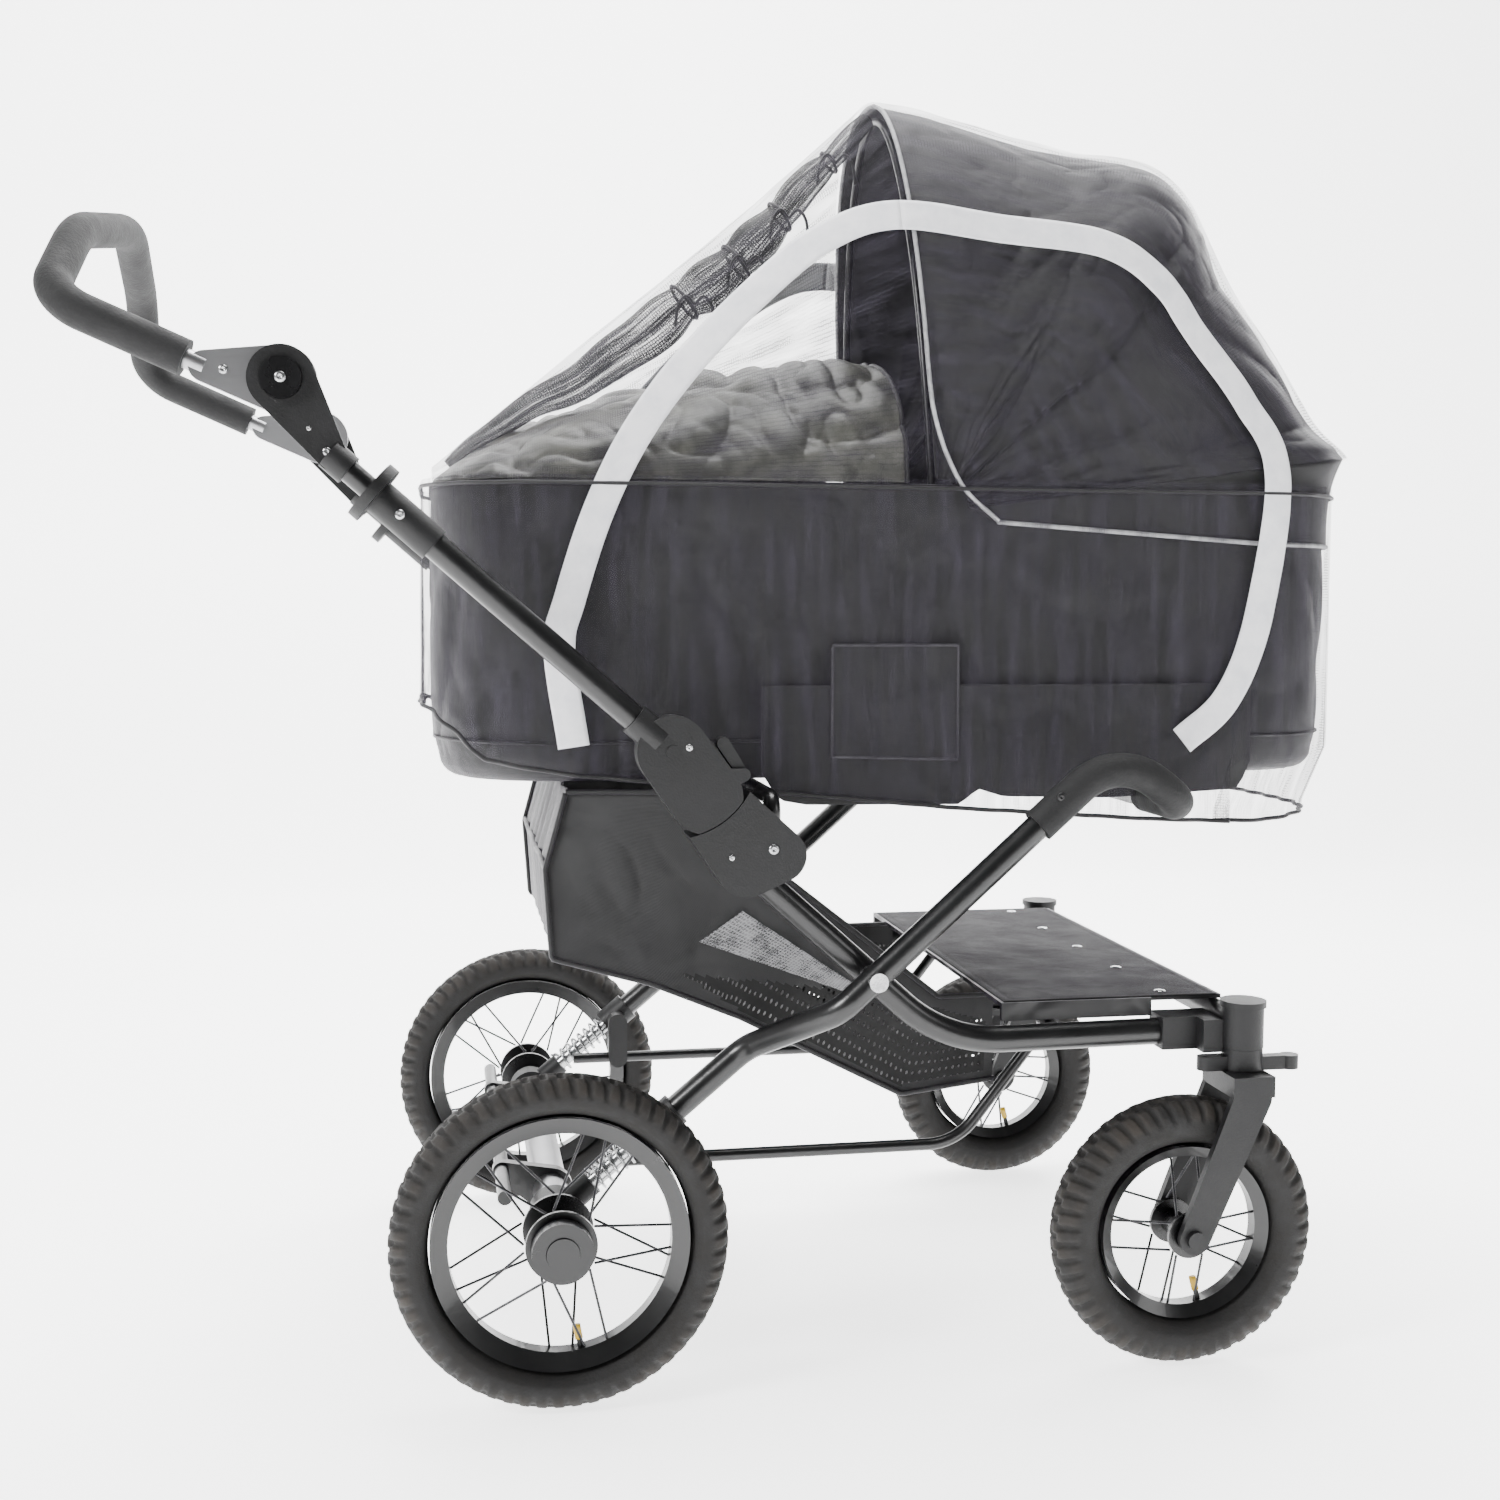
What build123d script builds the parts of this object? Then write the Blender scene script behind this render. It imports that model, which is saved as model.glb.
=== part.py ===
from build123d import *
import math
import os

# ---------------------------------------------------------------------------------
# Pram-style pet stroller.  Millimetres, +X forward (the way it is pushed), +Z up.
# Everything is laid out from the rear axle (X = 0) on the floor (Z = 0); the finished
# pieces are moved together at the end so that the overall box is centred on X.
# ---------------------------------------------------------------------------------

# wheels
HALF_TRACK = 299.0
REAR_D, REAR_TYRE_W, REAR_SEAT_D, REAR_RIM_HOLE_D = 312.0, 46.0, 237.0, 205.0
FRONT_D, FRONT_TYRE_W, FRONT_SEAT_D, FRONT_RIM_HOLE_D = 264.0, 48.0, 170.0, 148.0
TYRE_WALL = 5.0
RIM_W = 30.0
RIM_WALL = 5.0
REAR_SPOKES, FRONT_SPOKES = 20, 16
SPOKE_R = 1.2
SPOKE_GAP = 0.3
SPOKE_SKEW = 24.0
RUN_CLEAR = 0.06
AXLE_PIN_R = 6.0
REAR_HUB_R, REAR_FLANGE_R = 17.0, 33.0
REAR_HUB_IN, REAR_HUB_OUT = 262.0, 336.0
FLANGE_T = 4.0
HUB_CAP_R = 28.0
HUB_BUTTON_R, HUB_BUTTON_T, BUTTON_TRAVEL = 15.0, 7.0, 3.0
BUTTON_GAP = 0.4

# casters
FRONT_X = 604.0
TRAIL = 60.0
STEM_R = 8.0
HOUSING_R = 20.0
HOUSING_Z0, HOUSING_Z1 = 310.0, 356.0
CROWN_TOP = 288.0
CROWN_T = 20.0
ARM_GAP = 56.0
ARM_T = 8.0
BOLT_R = 5.0
FRONT_HUB_R, FRONT_FLANGE_R = 12.0, 22.0
LOCK_GAP = 0.4

# lower side tubes
TUBE_WALL = 1.5
SIDE_R, SIDE_Y = 13.0, 265.0
SIDE_TOP = (180.0, 492.0)
SIDE_CORNER = (374.0, 318.0)
SIDE_BEND = 145.0
SIDE_FRONT = (600.0, 320.0)
CROSS_R, CROSS_X, CROSS_Z = 11.0, 655.0, 337.0

# crossing support tubes with the arch that carries the cot
SUP_R, SUP_Y, SUP_LOW_Y = 12.5, 300.0, 225.0
SUP_LOW = (185.0, 310.0)
SUP_JOG = (262.0, 360.0)
SUP_PEAK = (529.0, 599.0)
SUP_CROSS = (603.0, 546.0)
JOG_BEND, ARCH_BEND, TURN_BEND = 40.0, 60.0, 40.0
SUP_END_T = 118.0
FOAM_R = 16.5
ARCH_FOAM_X = 452.0
ARCH_FOAM_END_Y = 195.0

# rear axle and suspension
AXLE_TUBE_R = 17.5
AXLE_TUBE_HALF = 255.0
PLUNGER_R = 8.0
SPRING_R = 14.0
BRACKET_R, BRACKET_W = 24.0, 26.0
BOSS_T = 46.0
TIE_R, TIE_Y, TIE_Z = 6.0, 200.0, 197.0

# deck, basket
DECK_T, DECK_BACK = 4.0, 432.0
RIVET_X, RIVET_R, RIVET_T = 605.0, 6.0, 1.6
BASKET_HALF, BASKET_WALL = 203.0, 3.0

# fold joint and handle
FOLD = (105.0, 605.0)
FOLD_ARC = 79.0
FOLD_AIM = -54.0
HANDLE_Y = 289.5
HOUSING_T = 25.0
HANDLE_TILT = 41.3
OUTER_R, INNER_R = 12.5, 10.5
OUTER_LEN = 330.0
INNER_INSIDE, INNER_SHOWN = 145.0, 62.0
COLLAR_OVER, COLLAR_PAST, COLLAR_R, COLLAR_FLANGE_R = 49.0, 25.0, 16.0, 28.5
JOINT_PAST, JOINT_OFF = 79.9, 22.0
JOINT_R = 29.0
GRIP_CORE_R, GRIP_FOAM_R = 9.0, 16.5
# grip points from the angle joint: along X and up
GRIP_START_STEP = (-65.0, 10.0)
GRIP_CORNER_STEP = (-195.0, 67.0)
GRIP_MID_STEP, GRIP_MID_Y = (-185.0, 141.0), 180.0
GRIP_TOP_STEP = (-168.0, 177.0)

# cot, apron, hood, net
COT_HALF, COT_FOOT, COT_HEAD, COT_RIM, COT_FLOOR = 195.0, -110.0, 835.0, 857.0, 565.4
COT_WALL, COT_CORNER_R = 8.0, 120.0
MATTRESS_T = 40.0
SOFT_T = 3.0
HOOD_HALF, HOOD_BASE = COT_HALF + 0.6 + SOFT_T, 34.0
ARCH_STEPS = 18
BOW_PIVOT = (380.0, 828.0)
BOW_R = 4.0
BOW_SIDE_GAP = 1.6
EYE_HALF = BOW_R + 0.6
APRON_RISE = 143.0
APRON_CROWN_X, APRON_END_X = 400.0, 350.0
NET_GAP = 2.5
NET_T = 1.2


# ---------------------------------------------------------------- small helpers

def rod_y(radius, x, z, y0, y1):
    """Round bar along Y between two stations."""
    return Location((x, (y0 + y1) / 2, z), (90, 0, 0)) * Cylinder(radius, abs(y1 - y0))


def rod(a, b, radius):
    """Round bar between two points."""
    a, b = Vector(*a), Vector(*b)
    plane = Plane(origin=a, z_dir=b - a)
    return extrude(plane * Circle(radius), (b - a).length)


def pipe(points, bends, radius, bore=0.0):
    """Round tube along straight runs joined by bends; bore 0 gives a solid bar."""
    path = FilletPolyline(*points, radius=bends) if len(points) > 2 else Line(*points)
    start = Plane(origin=path @ 0, z_dir=path % 0)
    ring = Circle(radius) - Circle(bore) if bore else Circle(radius)
    return sweep(start * ring, path=path)


def slab(outline, y0, y1):
    """XZ outline (a face drawn on the XZ plane) carried from y0 to y1."""
    low, high = min(y0, y1), max(y0, y1)
    face = Plane((0, high, 0), x_dir=(1, 0, 0), z_dir=(0, -1, 0)) * outline
    return extrude(face, high - low)


def lobe(a, ra, b, rb):
    """Outline of two discs joined by their outer tangents."""
    dist = math.hypot(b[0] - a[0], b[1] - a[1])
    aim = math.atan2(b[1] - a[1], b[0] - a[0])
    lean = math.acos((ra - rb) / dist)
    pts = []
    for centre, r, side in ((a, ra, 1), (b, rb, 1), (b, rb, -1), (a, ra, -1)):
        turn = aim + side * lean
        pts.append((centre[0] + r * math.cos(turn), centre[1] + r * math.sin(turn)))
    bar = make_face(Polyline(*pts, close=True))
    return bar + Pos(*a) * Circle(ra) + Pos(*b) * Circle(rb)


def group(*shapes):
    """One compound of the separate solids of several shapes."""
    return Compound(children=[solid for shape in shapes for solid in shape.solids()])


def point(x, z, y):
    return (x, y, z)


def along(origin, angle, dist, side=0.0):
    """XZ point at a distance along an angle, and off to its left by side."""
    c, s = math.cos(math.radians(angle)), math.sin(math.radians(angle))
    return (origin[0] + dist * c - side * s, origin[1] + dist * s + side * c)


# ---------------------------------------------------------------- derived places

REAR_Z, FRONT_Z = REAR_D / 2, FRONT_D / 2
STEM_X = FRONT_X + TRAIL
SUP_AIM = math.degrees(math.atan2(SUP_LOW[1] - REAR_Z, SUP_LOW[0]))
SUP_SLOPE = (SUP_PEAK[1] - SUP_JOG[1]) / (SUP_PEAK[0] - SUP_JOG[0])
SIDE_SLOPE = (SIDE_CORNER[1] - SIDE_TOP[1]) / (SIDE_CORNER[0] - SIDE_TOP[0])
CROSSING_X = ((SIDE_TOP[1] - SIDE_SLOPE * SIDE_TOP[0]) - (SUP_JOG[1] - SUP_SLOPE * SUP_JOG[0])) / (
    SUP_SLOPE - SIDE_SLOPE)
CROSSING = (CROSSING_X, SUP_JOG[1] + SUP_SLOPE * (CROSSING_X - SUP_JOG[0]))
OUTER_BORE = INNER_R + RUN_CLEAR
HANDLE_AIM = 180.0 - HANDLE_TILT
PIVOT_R = 6.0
INNER_PLATE = (262.0, HANDLE_Y - HOUSING_T / 2 - 1.0)


def handle_point(dist):
    return along(FOLD, HANDLE_AIM, dist)


def from_joint(step):
    return (JOINT[0] + step[0], JOINT[1] + step[1])


INNER_FROM, INNER_TO = OUTER_LEN - INNER_INSIDE, OUTER_LEN + INNER_SHOWN
COLLAR_FROM, COLLAR_TO = OUTER_LEN - COLLAR_OVER, OUTER_LEN + COLLAR_PAST
JOINT = along(FOLD, HANDLE_AIM, INNER_TO + JOINT_PAST, -JOINT_OFF)
GRIP_START, GRIP_CORNER = from_joint(GRIP_START_STEP), from_joint(GRIP_CORNER_STEP)
GRIP_MID, GRIP_TOP = from_joint(GRIP_MID_STEP), from_joint(GRIP_TOP_STEP)


# ---------------------------------------------------------------- wheels

def wheel_parts(x, side, d, width, seat_d, hole_d, spokes, hub_r, flange_r, hub_in, hub_out):
    """Tyre, rim, spokes and hub of one wheel, turned about its axle."""
    y, z = side * HALF_TRACK, d / 2
    axle = Plane((x, y, z), x_dir=(1, 0, 0), z_dir=(0, 0, 1))
    seat, hole = seat_d / 2, hole_d / 2
    rise = (d / 2 - seat) * 0.59
    mid = d / 2 - rise

    def turned(face):
        return revolve(axle * (Plane.XY * face), Axis((x, y, z), (0, 1, 0)))

    section = Pos(mid, 0) * Ellipse(rise, width / 2)
    section -= Pos(mid, 0) * Ellipse(rise - TYRE_WALL, width / 2 - TYRE_WALL)
    section -= Pos(seat / 2, 0) * Rectangle(seat, width * 2)
    tyre = turned(section)
    lip, root = RIM_W / 2, RIM_W / 4
    channel = make_face(Polyline((seat, lip), (seat, -lip), (hole, -root), (hole, root), close=True))
    channel -= Pos(seat - (seat - hole - RIM_WALL) / 2, 0) * Rectangle(
        seat - hole - RIM_WALL, 2 * (root + 1))
    rim = turned(channel)

    y0, y1 = hub_in, hub_out
    hub = rod_y(hub_r, x, z, side * y0, side * y1)
    flanges = (y0 + 3, y1 - 3 - FLANGE_T) if d == FRONT_D else (y0 + 3, y0 + 51)
    for f in flanges:
        hub += rod_y(flange_r, x, z, side * f, side * (f + FLANGE_T))
    wires = []
    for k in range(spokes):
        flange = flanges[k % 2] + FLANGE_T / 2
        skew = SPOKE_SKEW if (k // 2) % 2 else -SPOKE_SKEW
        at = math.radians(k * 360 / spokes)
        to = at + math.radians(skew * 0.5)
        frm = at - math.radians(skew * 0.5)
        r0, r1 = flange_r + SPOKE_R + SPOKE_GAP, hole - SPOKE_GAP
        lean = side * flange
        rim_y = side * (HALF_TRACK + (root - 3) * (1 if k % 2 else -1))
        wires.append(rod((x + r0 * math.cos(frm), lean, z + r0 * math.sin(frm)),
                         (x + r1 * math.cos(to), rim_y, z + r1 * math.sin(to)), SPOKE_R))
    return tyre, rim, Compound(children=wires), hub


def rear_wheel(side, name):
    tyre, rim, wires, hub = wheel_parts(
        0, side, REAR_D, REAR_TYRE_W, REAR_SEAT_D, REAR_RIM_HOLE_D, REAR_SPOKES,
        REAR_HUB_R, REAR_FLANGE_R, REAR_HUB_IN, REAR_HUB_OUT)
    cap_from = REAR_HUB_OUT - 14
    hub += rod_y(HUB_CAP_R, 0, REAR_Z, side * cap_from, side * REAR_HUB_OUT)
    hub -= rod_y(AXLE_PIN_R + RUN_CLEAR, 0, REAR_Z, side * (REAR_HUB_IN - 1), side * REAR_HUB_OUT)
    pocket = REAR_HUB_OUT - HUB_BUTTON_T - BUTTON_TRAVEL + 1
    hub -= rod_y(HUB_BUTTON_R + BUTTON_GAP, 0, REAR_Z, side * pocket, side * (REAR_HUB_OUT + 1))
    press = REAR_HUB_OUT + 2
    button = rod_y(HUB_BUTTON_R, 0, REAR_Z, side * (press - HUB_BUTTON_T), side * press)
    return {f"{name}_tyre": tyre, f"{name}_rim": rim, f"{name}_spokes": wires,
            f"{name}_hub": hub, f"{name}_hub_button": button}


def front_wheel(side, name):
    half = ARM_GAP / 2 - 1
    tyre, rim, wires, hub = wheel_parts(
        FRONT_X, side, FRONT_D, FRONT_TYRE_W, FRONT_SEAT_D, FRONT_RIM_HOLE_D, FRONT_SPOKES,
        FRONT_HUB_R, FRONT_FLANGE_R, HALF_TRACK - half, HALF_TRACK + half)
    hub -= rod_y(BOLT_R + RUN_CLEAR, FRONT_X, FRONT_Z, side * (HALF_TRACK - 60),
                 side * (HALF_TRACK + 60))
    return {f"{name}_tyre": tyre, f"{name}_rim": rim, f"{name}_spokes": wires, f"{name}_hub": hub}


def caster_fork(side):
    """Crown with stem, two arms and the wheel bolt."""
    y = side * HALF_TRACK
    arms = []
    for s in (-1, 1):
        y0 = y + s * ARM_GAP / 2
        arms.append(slab(lobe((STEM_X - 4, CROWN_TOP - 20), 19, (FRONT_X, FRONT_Z), 15),
                         y0, y0 + s * ARM_T))
    low = CROWN_TOP - CROWN_T
    crown = Pos(STEM_X - 3, y, (low + CROWN_TOP) / 2) * Box(42, ARM_GAP + 2 * ARM_T, CROWN_T)
    fork = crown + arms[0] + arms[1]
    fork -= Pos(STEM_X, y, CROWN_TOP + 20) * Box(90, ARM_GAP + 4 * ARM_T, 40)
    fork += Pos(STEM_X, y, CROWN_TOP + 26) * Cylinder(STEM_R, 52)
    end = HALF_TRACK + ARM_GAP / 2 + ARM_T
    back = HALF_TRACK - ARM_GAP / 2 - ARM_T
    fork -= rod_y(BOLT_R, FRONT_X, FRONT_Z, side * back, side * end)
    bolt = rod_y(BOLT_R, FRONT_X, FRONT_Z, side * back, side * end)
    bolt += rod_y(9, FRONT_X, FRONT_Z, side * end, side * (end + 5))
    bolt += rod_y(9, FRONT_X, FRONT_Z, side * back, side * (back - 5))
    return Compound(children=[fork, bolt])


def lock_lever(side):
    """Ring round the caster stem with a curved lever that locks the swivel."""
    y = side * HALF_TRACK
    low, high = CROWN_TOP + LOCK_GAP, HOUSING_Z0 - LOCK_GAP
    mid, tall = (low + high) / 2, high - low
    thin = 13.5
    drop = (thin - tall) / 2
    ring = Cylinder(HOUSING_R - 0.5, tall)
    ring += Pos(-21, 0, drop) * Box(34, 16, thin) + Pos(-38, 0, drop) * Cylinder(8, thin)
    ring += Pos(25, side * 6, drop) * Box(44, 12, thin) + Pos(46, side * 6, drop) * Cylinder(9, thin)
    ring -= Cylinder(STEM_R + LOCK_GAP, tall + 2)
    return Pos(STEM_X, y, mid) * ring


# ---------------------------------------------------------------- frame

def side_tube(side):
    y = side * SIDE_Y
    route = [point(*SIDE_TOP, y), point(*SIDE_CORNER, y), point(*SIDE_FRONT, y)]
    body = pipe(route, SIDE_BEND, SIDE_R, SIDE_R - TUBE_WALL)
    return body - rod_y(BOLT_R, *CROSSING, side * (SIDE_Y - 30), side * (SIDE_Y + 30))


def support_tube(side):
    """Tube from the suspension up over the arch and across to the middle."""
    tail = along((0, REAR_Z), SUP_AIM, SUP_END_T)
    route = [point(*tail, side * SUP_LOW_Y), point(*SUP_LOW, side * SUP_LOW_Y),
             point(*SUP_JOG, side * SUP_Y), point(*SUP_PEAK, side * SUP_Y),
             point(*SUP_CROSS, side * SUP_Y), point(*SUP_CROSS, 0)]
    body = pipe(route, [JOG_BEND, JOG_BEND, ARCH_BEND, TURN_BEND], SUP_R, SUP_R - TUBE_WALL)
    return body - rod_y(BOLT_R, *CROSSING, side * (SUP_Y - 30), side * (SUP_Y + 30))


def arch_foam(side):
    x = ARCH_FOAM_X
    z = SUP_JOG[1] + SUP_SLOPE * (x - SUP_JOG[0])
    route = [point(x, z, side * SUP_Y), point(*SUP_PEAK, side * SUP_Y),
             point(*SUP_CROSS, side * SUP_Y), point(*SUP_CROSS, side * ARCH_FOAM_END_Y)]
    return pipe(route, [ARCH_BEND, TURN_BEND], FOAM_R, SUP_R)


def caster_housing(side):
    y = side * HALF_TRACK
    tall = HOUSING_Z1 - HOUSING_Z0
    body = Pos(STEM_X, y, (HOUSING_Z0 + HOUSING_Z1) / 2) * Cylinder(HOUSING_R, tall)
    body += Pos(STEM_X, y, HOUSING_Z1 - 3) * Cylinder(HOUSING_R + 2, 6)
    bore_top = CROWN_TOP + 52 + 2
    return body - Pos(STEM_X, y, (HOUSING_Z0 + bore_top) / 2) * Cylinder(
        STEM_R + RUN_CLEAR, bore_top - HOUSING_Z0)


def corner_connector(side):
    """Cast block that grips the side tube's end and carries the caster housing."""
    x0, x1 = SIDE_FRONT[0] - 11, STEM_X - 8
    y0, y1 = SIDE_Y - SIDE_R - 4, HALF_TRACK
    body = Pos((x0 + x1) / 2, side * (y0 + y1) / 2, SIDE_CORNER[1] + 3) * Box(x1 - x0, y1 - y0, 32)
    body -= Pos(STEM_X, side * HALF_TRACK, HOUSING_Z0) * Cylinder(HOUSING_R, 200)
    body -= Pos(x0, side * y1, SIDE_CORNER[1] + 3) * Box(70, 2 * (y1 - SIDE_Y - SIDE_R - 4), 60)
    tube = rod(point(*SIDE_CORNER, side * SIDE_Y), point(*SIDE_FRONT, side * SIDE_Y), SIDE_R)
    body -= tube
    return body - cross_bar_solid()


def cross_bar_solid():
    return rod_y(CROSS_R, CROSS_X, CROSS_Z, -HALF_TRACK, HALF_TRACK)


def front_cross_tube():
    body = cross_bar_solid() - rod_y(CROSS_R - TUBE_WALL, CROSS_X, CROSS_Z, -400, 400)
    for s in (-1, 1):
        body -= Pos(STEM_X, s * HALF_TRACK, HOUSING_Z0) * Cylinder(HOUSING_R, 200)
        body -= Pos(CROSS_X, s * (HALF_TRACK + 20), CROSS_Z) * Box(60, 40, 60)
    return body


def crossing_bolts():
    parts = []
    for s in (-1, 1):
        inner, outer = SIDE_Y - SIDE_R, SUP_Y + SUP_R
        bolt = rod_y(BOLT_R, *CROSSING, s * (inner - 3), s * (outer + 3))
        bolt += rod_y(9, *CROSSING, s * (outer + 0.4), s * (outer + 6))
        bolt += rod_y(9, *CROSSING, s * (inner - 0.4), s * (inner - 6))
        bolt += rod_y(9, *CROSSING, s * (SIDE_Y + SIDE_R + 0.3), s * (SUP_Y - SUP_R - 0.3))
        parts.append(bolt)
    return Compound(children=parts)


def tie_rods():
    """Bars that hold the two ends of the crossed frame at their spread."""
    parts = []
    for s in (-1, 1):
        y = s * TIE_Y
        route = [point(50, TIE_Z, y), point(405, TIE_Z, y), point(500, SIDE_CORNER[1], y)]
        bar = pipe(route, 60, TIE_R)
        eye = rod_y(10, 500, SIDE_CORNER[1], s * (TIE_Y - TIE_R), s * (TIE_Y + TIE_R))
        stud = rod_y(BOLT_R, 500, SIDE_CORNER[1], s * (TIE_Y + TIE_R), s * (SIDE_Y - SIDE_R + 0.6))
        parts.append(bar + eye + stud - pipe(
            [point(SIDE_CORNER[0] + 60, SIDE_CORNER[1] + 1, s * SIDE_Y),
             point(SIDE_FRONT[0], SIDE_CORNER[1] + 1, s * SIDE_Y)], 0, SIDE_R + 0.2))
    return Compound(children=parts)


def tube_end_fittings():
    """Collar on each support tube's tail with a lug that grips the tie rod, and the plunger bush."""
    parts = []
    for s in (-1, 1):
        y = s * SUP_LOW_Y
        a = along((0, REAR_Z), SUP_AIM, SUP_END_T)
        b = along((0, REAR_Z), SUP_AIM, SUP_END_T + 34)
        clamp_x = a[0] + 12
        collar = rod(point(*a, y), point(*b, y), SUP_R + 4)
        lug = slab(lobe((clamp_x, TIE_Z), 11, (a[0] + 12, a[1] + 8), 11),
                   s * (TIE_Y - 9), s * (TIE_Y + 9))
        collar += lug
        collar += Pos(clamp_x, s * (TIE_Y + 12), a[1] + 8) * Box(18, 14, 16)
        collar -= rod(point(*a, y), point(*b, y), SUP_R)
        collar -= rod(point(40, TIE_Z, s * TIE_Y), point(200, TIE_Z, s * TIE_Y), TIE_R)
        c = along((0, REAR_Z), SUP_AIM, SUP_END_T + 14)
        bush = rod(point(*a, y), point(*c, y), SUP_R - TUBE_WALL)
        bush -= rod(point(*a, y), point(*c, y), PLUNGER_R + RUN_CLEAR)
        parts += [collar, bush]
    return Compound(children=parts)


def lower_housing(side):
    """Fixed half of the fold joint: grips the side tube and carries the fold pin."""
    tip, heel = (204.0, 508.0), (174.0, 500.0)
    neck = along(FOLD, FOLD_AIM, 64)
    outline = lobe(heel, 30, tip, 25) + lobe(neck, 33, heel, 30) + lobe(neck, 33, tip, 25)
    outline -= Pos(*FOLD) * Circle(FOLD_ARC + 1)
    body = slab(outline, side * (SIDE_Y - SIDE_R - 1), side * (HANDLE_Y + HOUSING_T / 2))
    plate = slab(lobe(FOLD, 26, along(FOLD, FOLD_AIM, 70), 24),
                 side * INNER_PLATE[0], side * INNER_PLATE[1])
    body += plate
    body += rod_y(PIVOT_R, *FOLD, side * INNER_PLATE[1], side * (HANDLE_Y + HOUSING_T / 2 + 1))
    top = SIDE_TOP
    end = (top[0] + 80, top[1] + 80 * SIDE_SLOPE)
    return body - rod(point(*top, side * SIDE_Y), point(*end, side * SIDE_Y), SIDE_R)


def cradle_bar():
    """Bar across the frame that the foot half of the cot stands on."""
    r = 8.0
    z, y = COT_FLOOR - 0.4 - r, SIDE_Y - 4
    route = [point(204, 528, -y), point(204, z, -y), point(204, z, y), point(204, 528, y)]
    return pipe(route, 14, r) - lower_housing(-1) - lower_housing(1)


# ---------------------------------------------------------------- rear axle unit

def rear_axle_tube():
    return rod_y(AXLE_TUBE_R, 0, REAR_Z, -AXLE_TUBE_HALF, AXLE_TUBE_HALF) - rod_y(
        AXLE_TUBE_R - 2, 0, REAR_Z, -300, 300)


def stub_axles():
    parts = []
    for s in (-1, 1):
        plug = rod_y(AXLE_TUBE_R - 2, 0, REAR_Z, s * (AXLE_TUBE_HALF - 50), s * AXLE_TUBE_HALF)
        plug += rod_y(AXLE_TUBE_R, 0, REAR_Z, s * AXLE_TUBE_HALF, s * (REAR_HUB_IN - 0.5))
        pin_end = REAR_HUB_OUT - HUB_BUTTON_T - BUTTON_TRAVEL
        plug += rod_y(AXLE_PIN_R, 0, REAR_Z, s * AXLE_TUBE_HALF, s * (pin_end - 1))
        parts.append(plug)
    return Compound(children=parts)


def axle_brackets():
    parts = []
    for s in (-1, 1):
        y = s * SUP_LOW_Y
        body = rod_y(BRACKET_R, 0, REAR_Z, y - BRACKET_W / 2, y + BRACKET_W / 2)
        body += rod(point(0, REAR_Z, y), point(*along((0, REAR_Z), SUP_AIM, BOSS_T), y), 12.5)
        body -= rod_y(AXLE_TUBE_R, 0, REAR_Z, y - 40, y + 40)
        body -= rod(point(*along((0, REAR_Z), SUP_AIM, BOSS_T - 20), y),
                    point(*along((0, REAR_Z), SUP_AIM, BOSS_T + 5), y), PLUNGER_R)
        parts.append(body)
    return Compound(children=parts)


def suspension_plungers():
    """Sliding rods with a piston head that runs inside each support tube."""
    parts = []
    for s in (-1, 1):
        y = s * SUP_LOW_Y
        a = along((0, REAR_Z), SUP_AIM, BOSS_T - 20)
        b = along((0, REAR_Z), SUP_AIM, SUP_END_T + 62)
        c = along((0, REAR_Z), SUP_AIM, SUP_END_T + 46)
        body = rod(point(*a, y), point(*b, y), PLUNGER_R)
        body += rod(point(*c, y), point(*b, y), SUP_R - TUBE_WALL - RUN_CLEAR)
        parts.append(body)
    return Compound(children=parts)


def suspension_springs():
    parts = []
    for s in (-1, 1):
        y = s * SUP_LOW_Y
        a = along((0, REAR_Z), SUP_AIM, BOSS_T + 0.4)
        b = along((0, REAR_Z), SUP_AIM, SUP_END_T - 0.4)
        parts.append(rod(point(*a, y), point(*b, y), SPRING_R) - rod(
            point(*a, y), point(*b, y), PLUNGER_R + 0.5))
    return Compound(children=parts)


def brake_bar():
    """Foot brake: two collars that turn on the axle tube, joined by a bar with a pedal."""
    collar_y, bar_x, bar_z = 150.0, -48.0, REAR_Z + 22
    body = rod_y(7, bar_x, bar_z, -238, 238)
    for s in (-1, 1):
        arm = slab(lobe((0, REAR_Z), AXLE_TUBE_R + 5, (bar_x, bar_z), 9),
                   s * (collar_y - 6), s * (collar_y + 6))
        body += arm
    pedal = Pos(bar_x - 22, 0, bar_z + 2) * Box(50, 92, 9)
    body += fillet(pedal.edges().filter_by(Axis.Z), 8)
    return body - rod_y(AXLE_TUBE_R + 0.35, 0, REAR_Z, -170, 170)


# ---------------------------------------------------------------- deck and basket

def deck_panel():
    top = CROSS_Z + CROSS_R + 0.3 + DECK_T
    x1 = CROSS_X + 6
    half = SIDE_Y - 10
    body = Pos((DECK_BACK + x1) / 2, 0, top - DECK_T / 2) * Box(x1 - DECK_BACK, 2 * half, DECK_T)
    skirt_z = SIDE_CORNER[1] + SIDE_R + 3.5
    for s in (-1, 1):
        body += Pos((DECK_BACK + SIDE_FRONT[0] - 14) / 2, s * (SIDE_Y - 8), (top + skirt_z) / 2) * Box(
            SIDE_FRONT[0] - 14 - DECK_BACK, 6, top - skirt_z)
    return body - deck_rivets()


def deck_rivets():
    """Flush rivets along the board's front, in counterbores of their own size."""
    top = CROSS_Z + CROSS_R + 0.3 + DECK_T
    spots = [k * (SIDE_Y - 30) / 2 for k in range(-2, 3)]
    return Compound(children=[Pos(RIVET_X, y, top - RIVET_T / 2) * Cylinder(RIVET_R, RIVET_T) for y in spots])


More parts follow.
